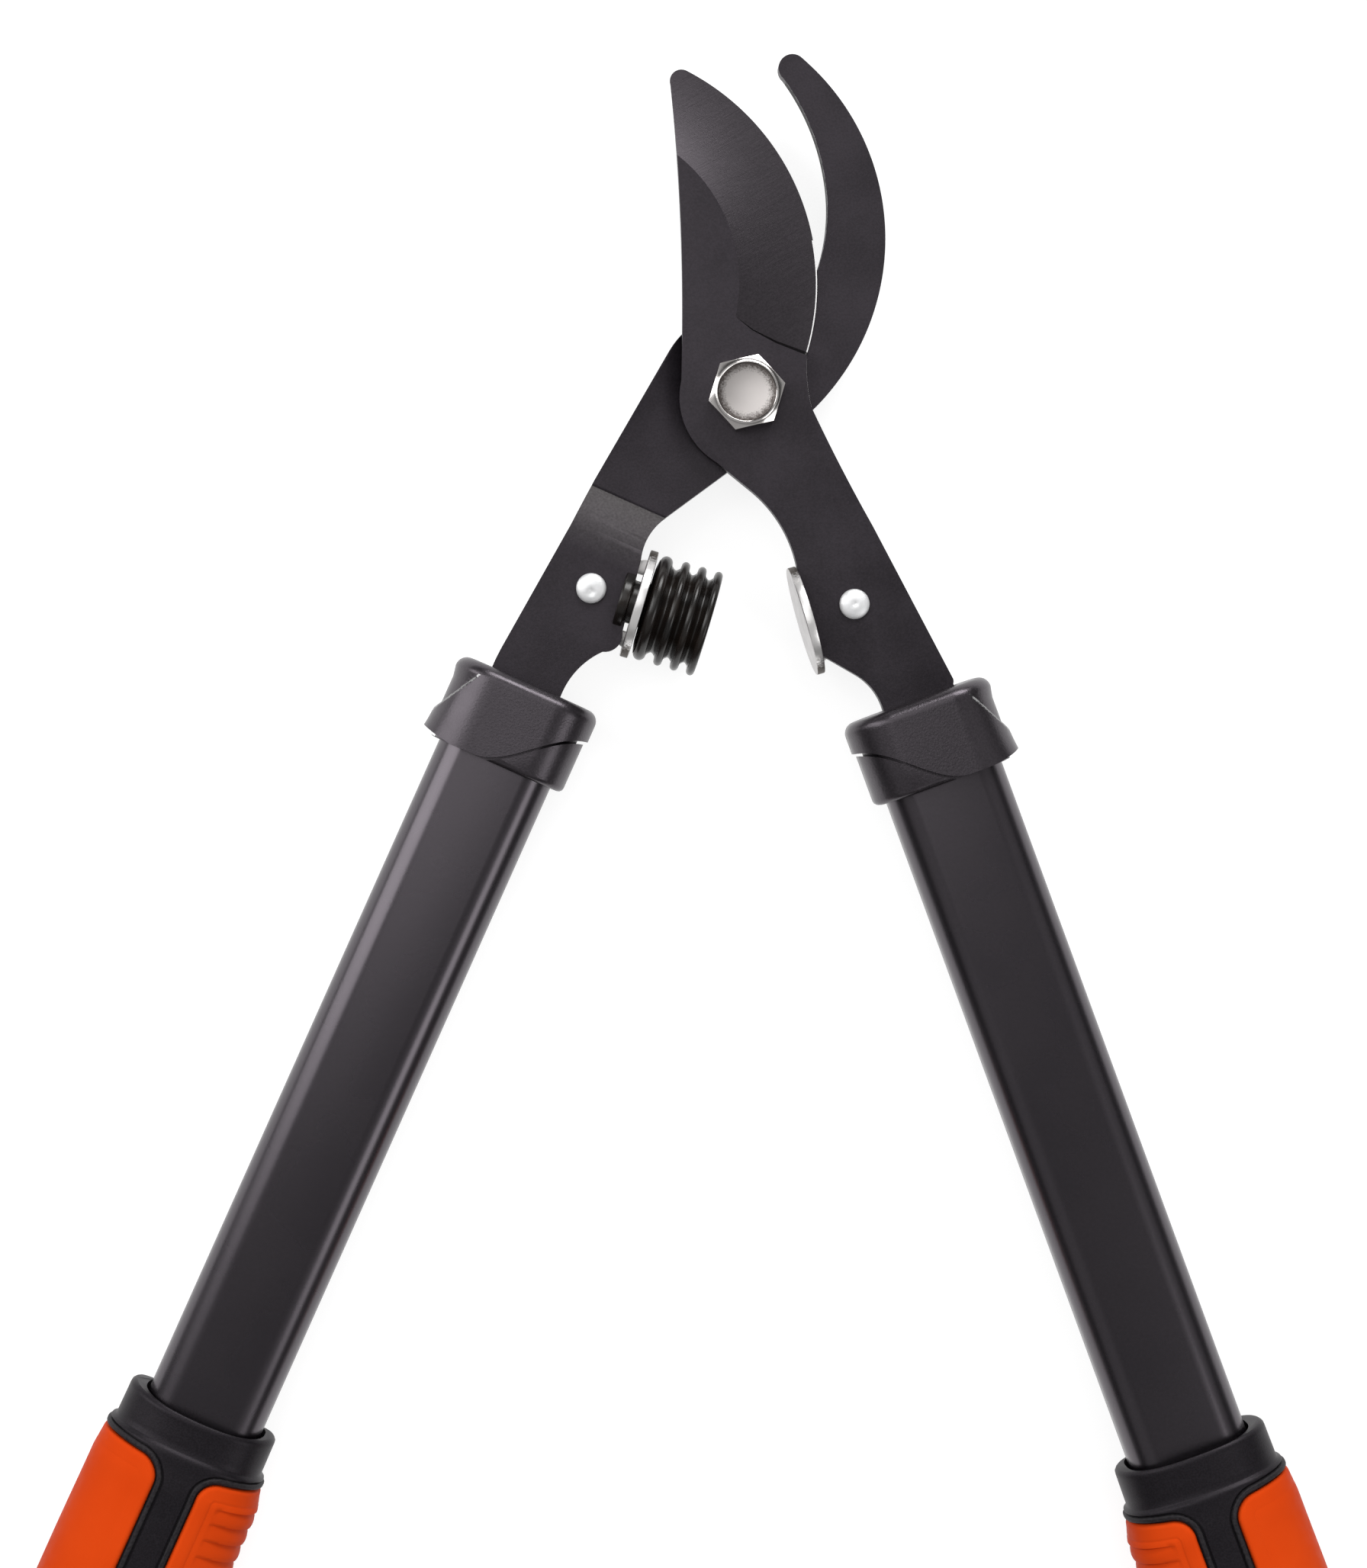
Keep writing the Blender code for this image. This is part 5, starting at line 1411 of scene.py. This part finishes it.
def grip_core(side, half):
    """Oval collar, strip and flared butt, with a mouth that the tube enters."""
    runs = sorted({run for run, *_ in SECTIONS} | {GRIP_LENGTH * step / 84 for step in range(85)})
    around = 112
    lengths = [4 * QUARTER * (step / around - 0.5) for step in range(around)]
    top = half.grip_top
    rings = []
    for run in runs:
        ring = [grip_point(top, length, run) for length in lengths]
        for point in ring:
            point.y -= mouth_sink(half, point.z) * max(1 - run / MOUTH_SINK_RUN, 0)
        rings.append(ring)
    core = loft(rings)
    for sign in (1, -1):
        for grow, bed in ((PAD_POCKET_GAP, PAD_HEIGHT - PAD_THICKNESS - CLEARANCE),
                          (PAD_SEAM + BEAD_WIDTH + BEAD_GROOVE, BEAD_BED)):
            plan = PadPlan(top, sign, grow)
            pocket = unrolled(plan, (), evenly(-plan.reach, plan.reach, 0.0013),
                              evenly(plan.top, plan.end, 0.0030))
            core = combined(core, wrapped(pocket, plan, lambda *_: ABOVE_SKIN, bed))
    mouth = loft([mouth_ring(top - 0.001, 0.0001), mouth_ring(top + 0.0004),
                  mouth_ring(top + 0.008)])
    core = combined(core, mouth)
    bore = loft([oval_ring(*TUBE_OVAL, station, -CLEARANCE)
                 for station in (top + 0.005, TUBE_END + CLEARANCE)])
    core = combined(core, bore)
    show(side + "_grip_body", core, half, GRIP_PLASTIC, [side + "_grip_core"], 40,
         matrix=half.bench)


def handle(side, half):
    handle_tube(side, half)
    ferrule(side, half)
    grip_core(side, half)
    for name, sign in (("outer", 1), ("inner", -1)):
        pad(side, half, name, sign)
        bead(side, half, name, sign)


# Camera, floor and lights

PICTURE_LENGTH = 0.3948
LENS_TRIM = 0.9985           # shows the tool this much smaller
CAMERA_HEIGHT = 0.850
PICTURE_MIDDLE = Vector((-0.01555, -0.09792))
CAMERA_MIDDLE = Vector((-0.0455, -0.0900))


def camera():
    """Looks straight down from a little left of the picture's middle."""
    lens = bpy.data.cameras.new("camera")
    lens.sensor_width = 36
    lens.lens = lens.sensor_width * CAMERA_HEIGHT / PICTURE_LENGTH * LENS_TRIM
    lens.shift_x, lens.shift_y = (PICTURE_MIDDLE - CAMERA_MIDDLE) / PICTURE_LENGTH
    lens.clip_start = 0.05
    eye = bpy.data.objects.new("camera", lens)
    eye.location = PIVOT + Vector((*CAMERA_MIDDLE, CAMERA_HEIGHT))
    bpy.context.collection.objects.link(eye)
    bpy.context.scene.camera = eye


def any_ray(tree, kinds):
    """1 for rays of the named kinds, else 0."""
    rays = add_node(tree, "LightPath", {})
    found = rays.outputs[kinds[0]]
    for kind in kinds[1:]:
        found = add_node(tree, "Math", {0: found, 1: rays.outputs[kind]},
                         operation="MAXIMUM").outputs[0]
    return found


def floor():
    """Pale ground that glows to the camera and to reflections."""
    shape = bmesh.new()
    bmesh.ops.create_grid(shape, x_segments=1, y_segments=1, size=12)
    mesh = bpy.data.meshes.new("floor")
    shape.to_mesh(mesh)
    shape.free()
    ground = bpy.data.objects.new("floor", mesh)
    material = bpy.data.materials.new("pale_floor")
    material.use_nodes = True
    tree = material.node_tree
    seen = any_ray(tree, ("Is Camera Ray", "Is Glossy Ray", "Is Transmission Ray"))
    glow = add_node(tree, "Math", {0: seen, 1: 0.82}, operation="MULTIPLY").outputs[0]
    shader = tree.nodes["Principled BSDF"]
    tree.links.new(glow, shader.inputs["Emission Strength"])
    for key, value in {"Base Color": (0.34, 0.34, 0.34, 1), "Emission Color": (1, 1, 1, 1),
                       "Roughness": 0.9, "Specular IOR Level": 0.1}.items():
        shader.inputs[key].default_value = value
    mesh.materials.append(material)
    bpy.context.collection.objects.link(ground)


def lamp(name, place, aim, size, power):
    """Soft oblong lamp, placed and aimed from the pivot."""
    light = bpy.data.lights.new(name, "AREA")
    light.shape = "RECTANGLE"
    light.size, light.size_y = size
    light.energy = power
    piece = bpy.data.objects.new(name, light)
    piece.location = PIVOT + Vector(place)
    piece.rotation_euler = (Vector(aim) - Vector(place)).to_track_quat("-Z", "Y").to_euler()
    bpy.context.collection.objects.link(piece)


def sky(tree, levels):
    """A grey level for each direction, from the horizon at 0 to overhead at 1."""
    place = add_node(tree, "TexCoord", {}).outputs["Generated"]
    height = add_node(tree, "SeparateXYZ", {0: place}).outputs["Z"]
    ramp = add_node(tree, "ValToRGB", {0: height})
    stops = ramp.color_ramp.elements
    stops[0].position, stops[1].position = levels[0][0], levels[-1][0]
    for position, _ in levels[1:-1]:
        stops.new(position)
    for stop, (_, level) in zip(stops, levels):
        stop.color = (level, level, level, 1)
    return ramp.outputs[0]


def studio():
    """White to the camera; a dim room with a pale horizon to reflections, and a soft
    light from above to matte surfaces."""
    world = bpy.data.worlds.new("studio")
    world.use_nodes = True
    bpy.context.scene.world = world
    tree = world.node_tree
    room = sky(tree, ((0.0, 0.60), (0.06, 0.10), (0.42, 0.03), (0.54, 0.33), (0.88, 0.33),
                      (0.98, 0.12)))
    soft = sky(tree, ((0.0, 0.12), (0.25, 0.20), (0.60, 0.45), (1.0, 0.60)))
    mirrored = any_ray(tree, ("Is Glossy Ray", "Is Transmission Ray"))
    around = add_node(tree, "Mix", {0: mirrored, 6: soft, 7: room}, data_type="RGBA").outputs[2]
    seen = any_ray(tree, ("Is Camera Ray",))
    shown = add_node(tree, "Mix", {0: seen, 6: around, 7: (1, 1, 1, 1)}, data_type="RGBA")
    tree.links.new(shown.outputs[2], tree.nodes["Background"].inputs["Color"])


cutting_blade()
hook_plate()
pivot_bolt()
pivot_washer()
pivot_nut()
rivet("left_domed_rivet", HOOK_HALF, BUMPER_RIVET_AT, "bumper_rivet", (0.0004, -0.0009), 0.0016)
rivet("right_domed_rivet", BLADE_HALF, STRIKE_RIVET_AT, "strike_rivet", (0.0, 0.0), 0.0007)
bracket("bumper_disc", HOOK_HALF, "bumper_bracket", BUMPER_AT, BUMPER_LEAN, BUMPER_RIVET_AT,
        True)
bracket("strike_disc", BLADE_HALF, "strike_bracket",
        STRIKE_AT + leaning(-STRIKE_LEAN, DISC_THICKNESS / 2), -STRIKE_LEAN, STRIKE_RIVET_AT,
        False)
rubber_bumper()
handle("left", HOOK_HALF)
handle("right", BLADE_HALF)

camera()
floor()
studio()
lamp("top_side", (0.28, 0.90, 0.68), (0, 0, 0), (0.8, 0.50), 9.5)
lamp("overhead", (-0.13, 0.20, 1.15), (-0.05, 0.0, 0), (0.60, 0.75), 1.6)
lamp("left_side", (-0.90, 0.30, 0.72), (0, -0.10, 0), (0.50, 1.2), 6.0)
lamp("low_right", (0.75, -0.60, 0.80), (0, -0.05, 0), (0.45, 0.45), 1.6)

bpy.context.scene.view_settings.view_transform = "Standard"
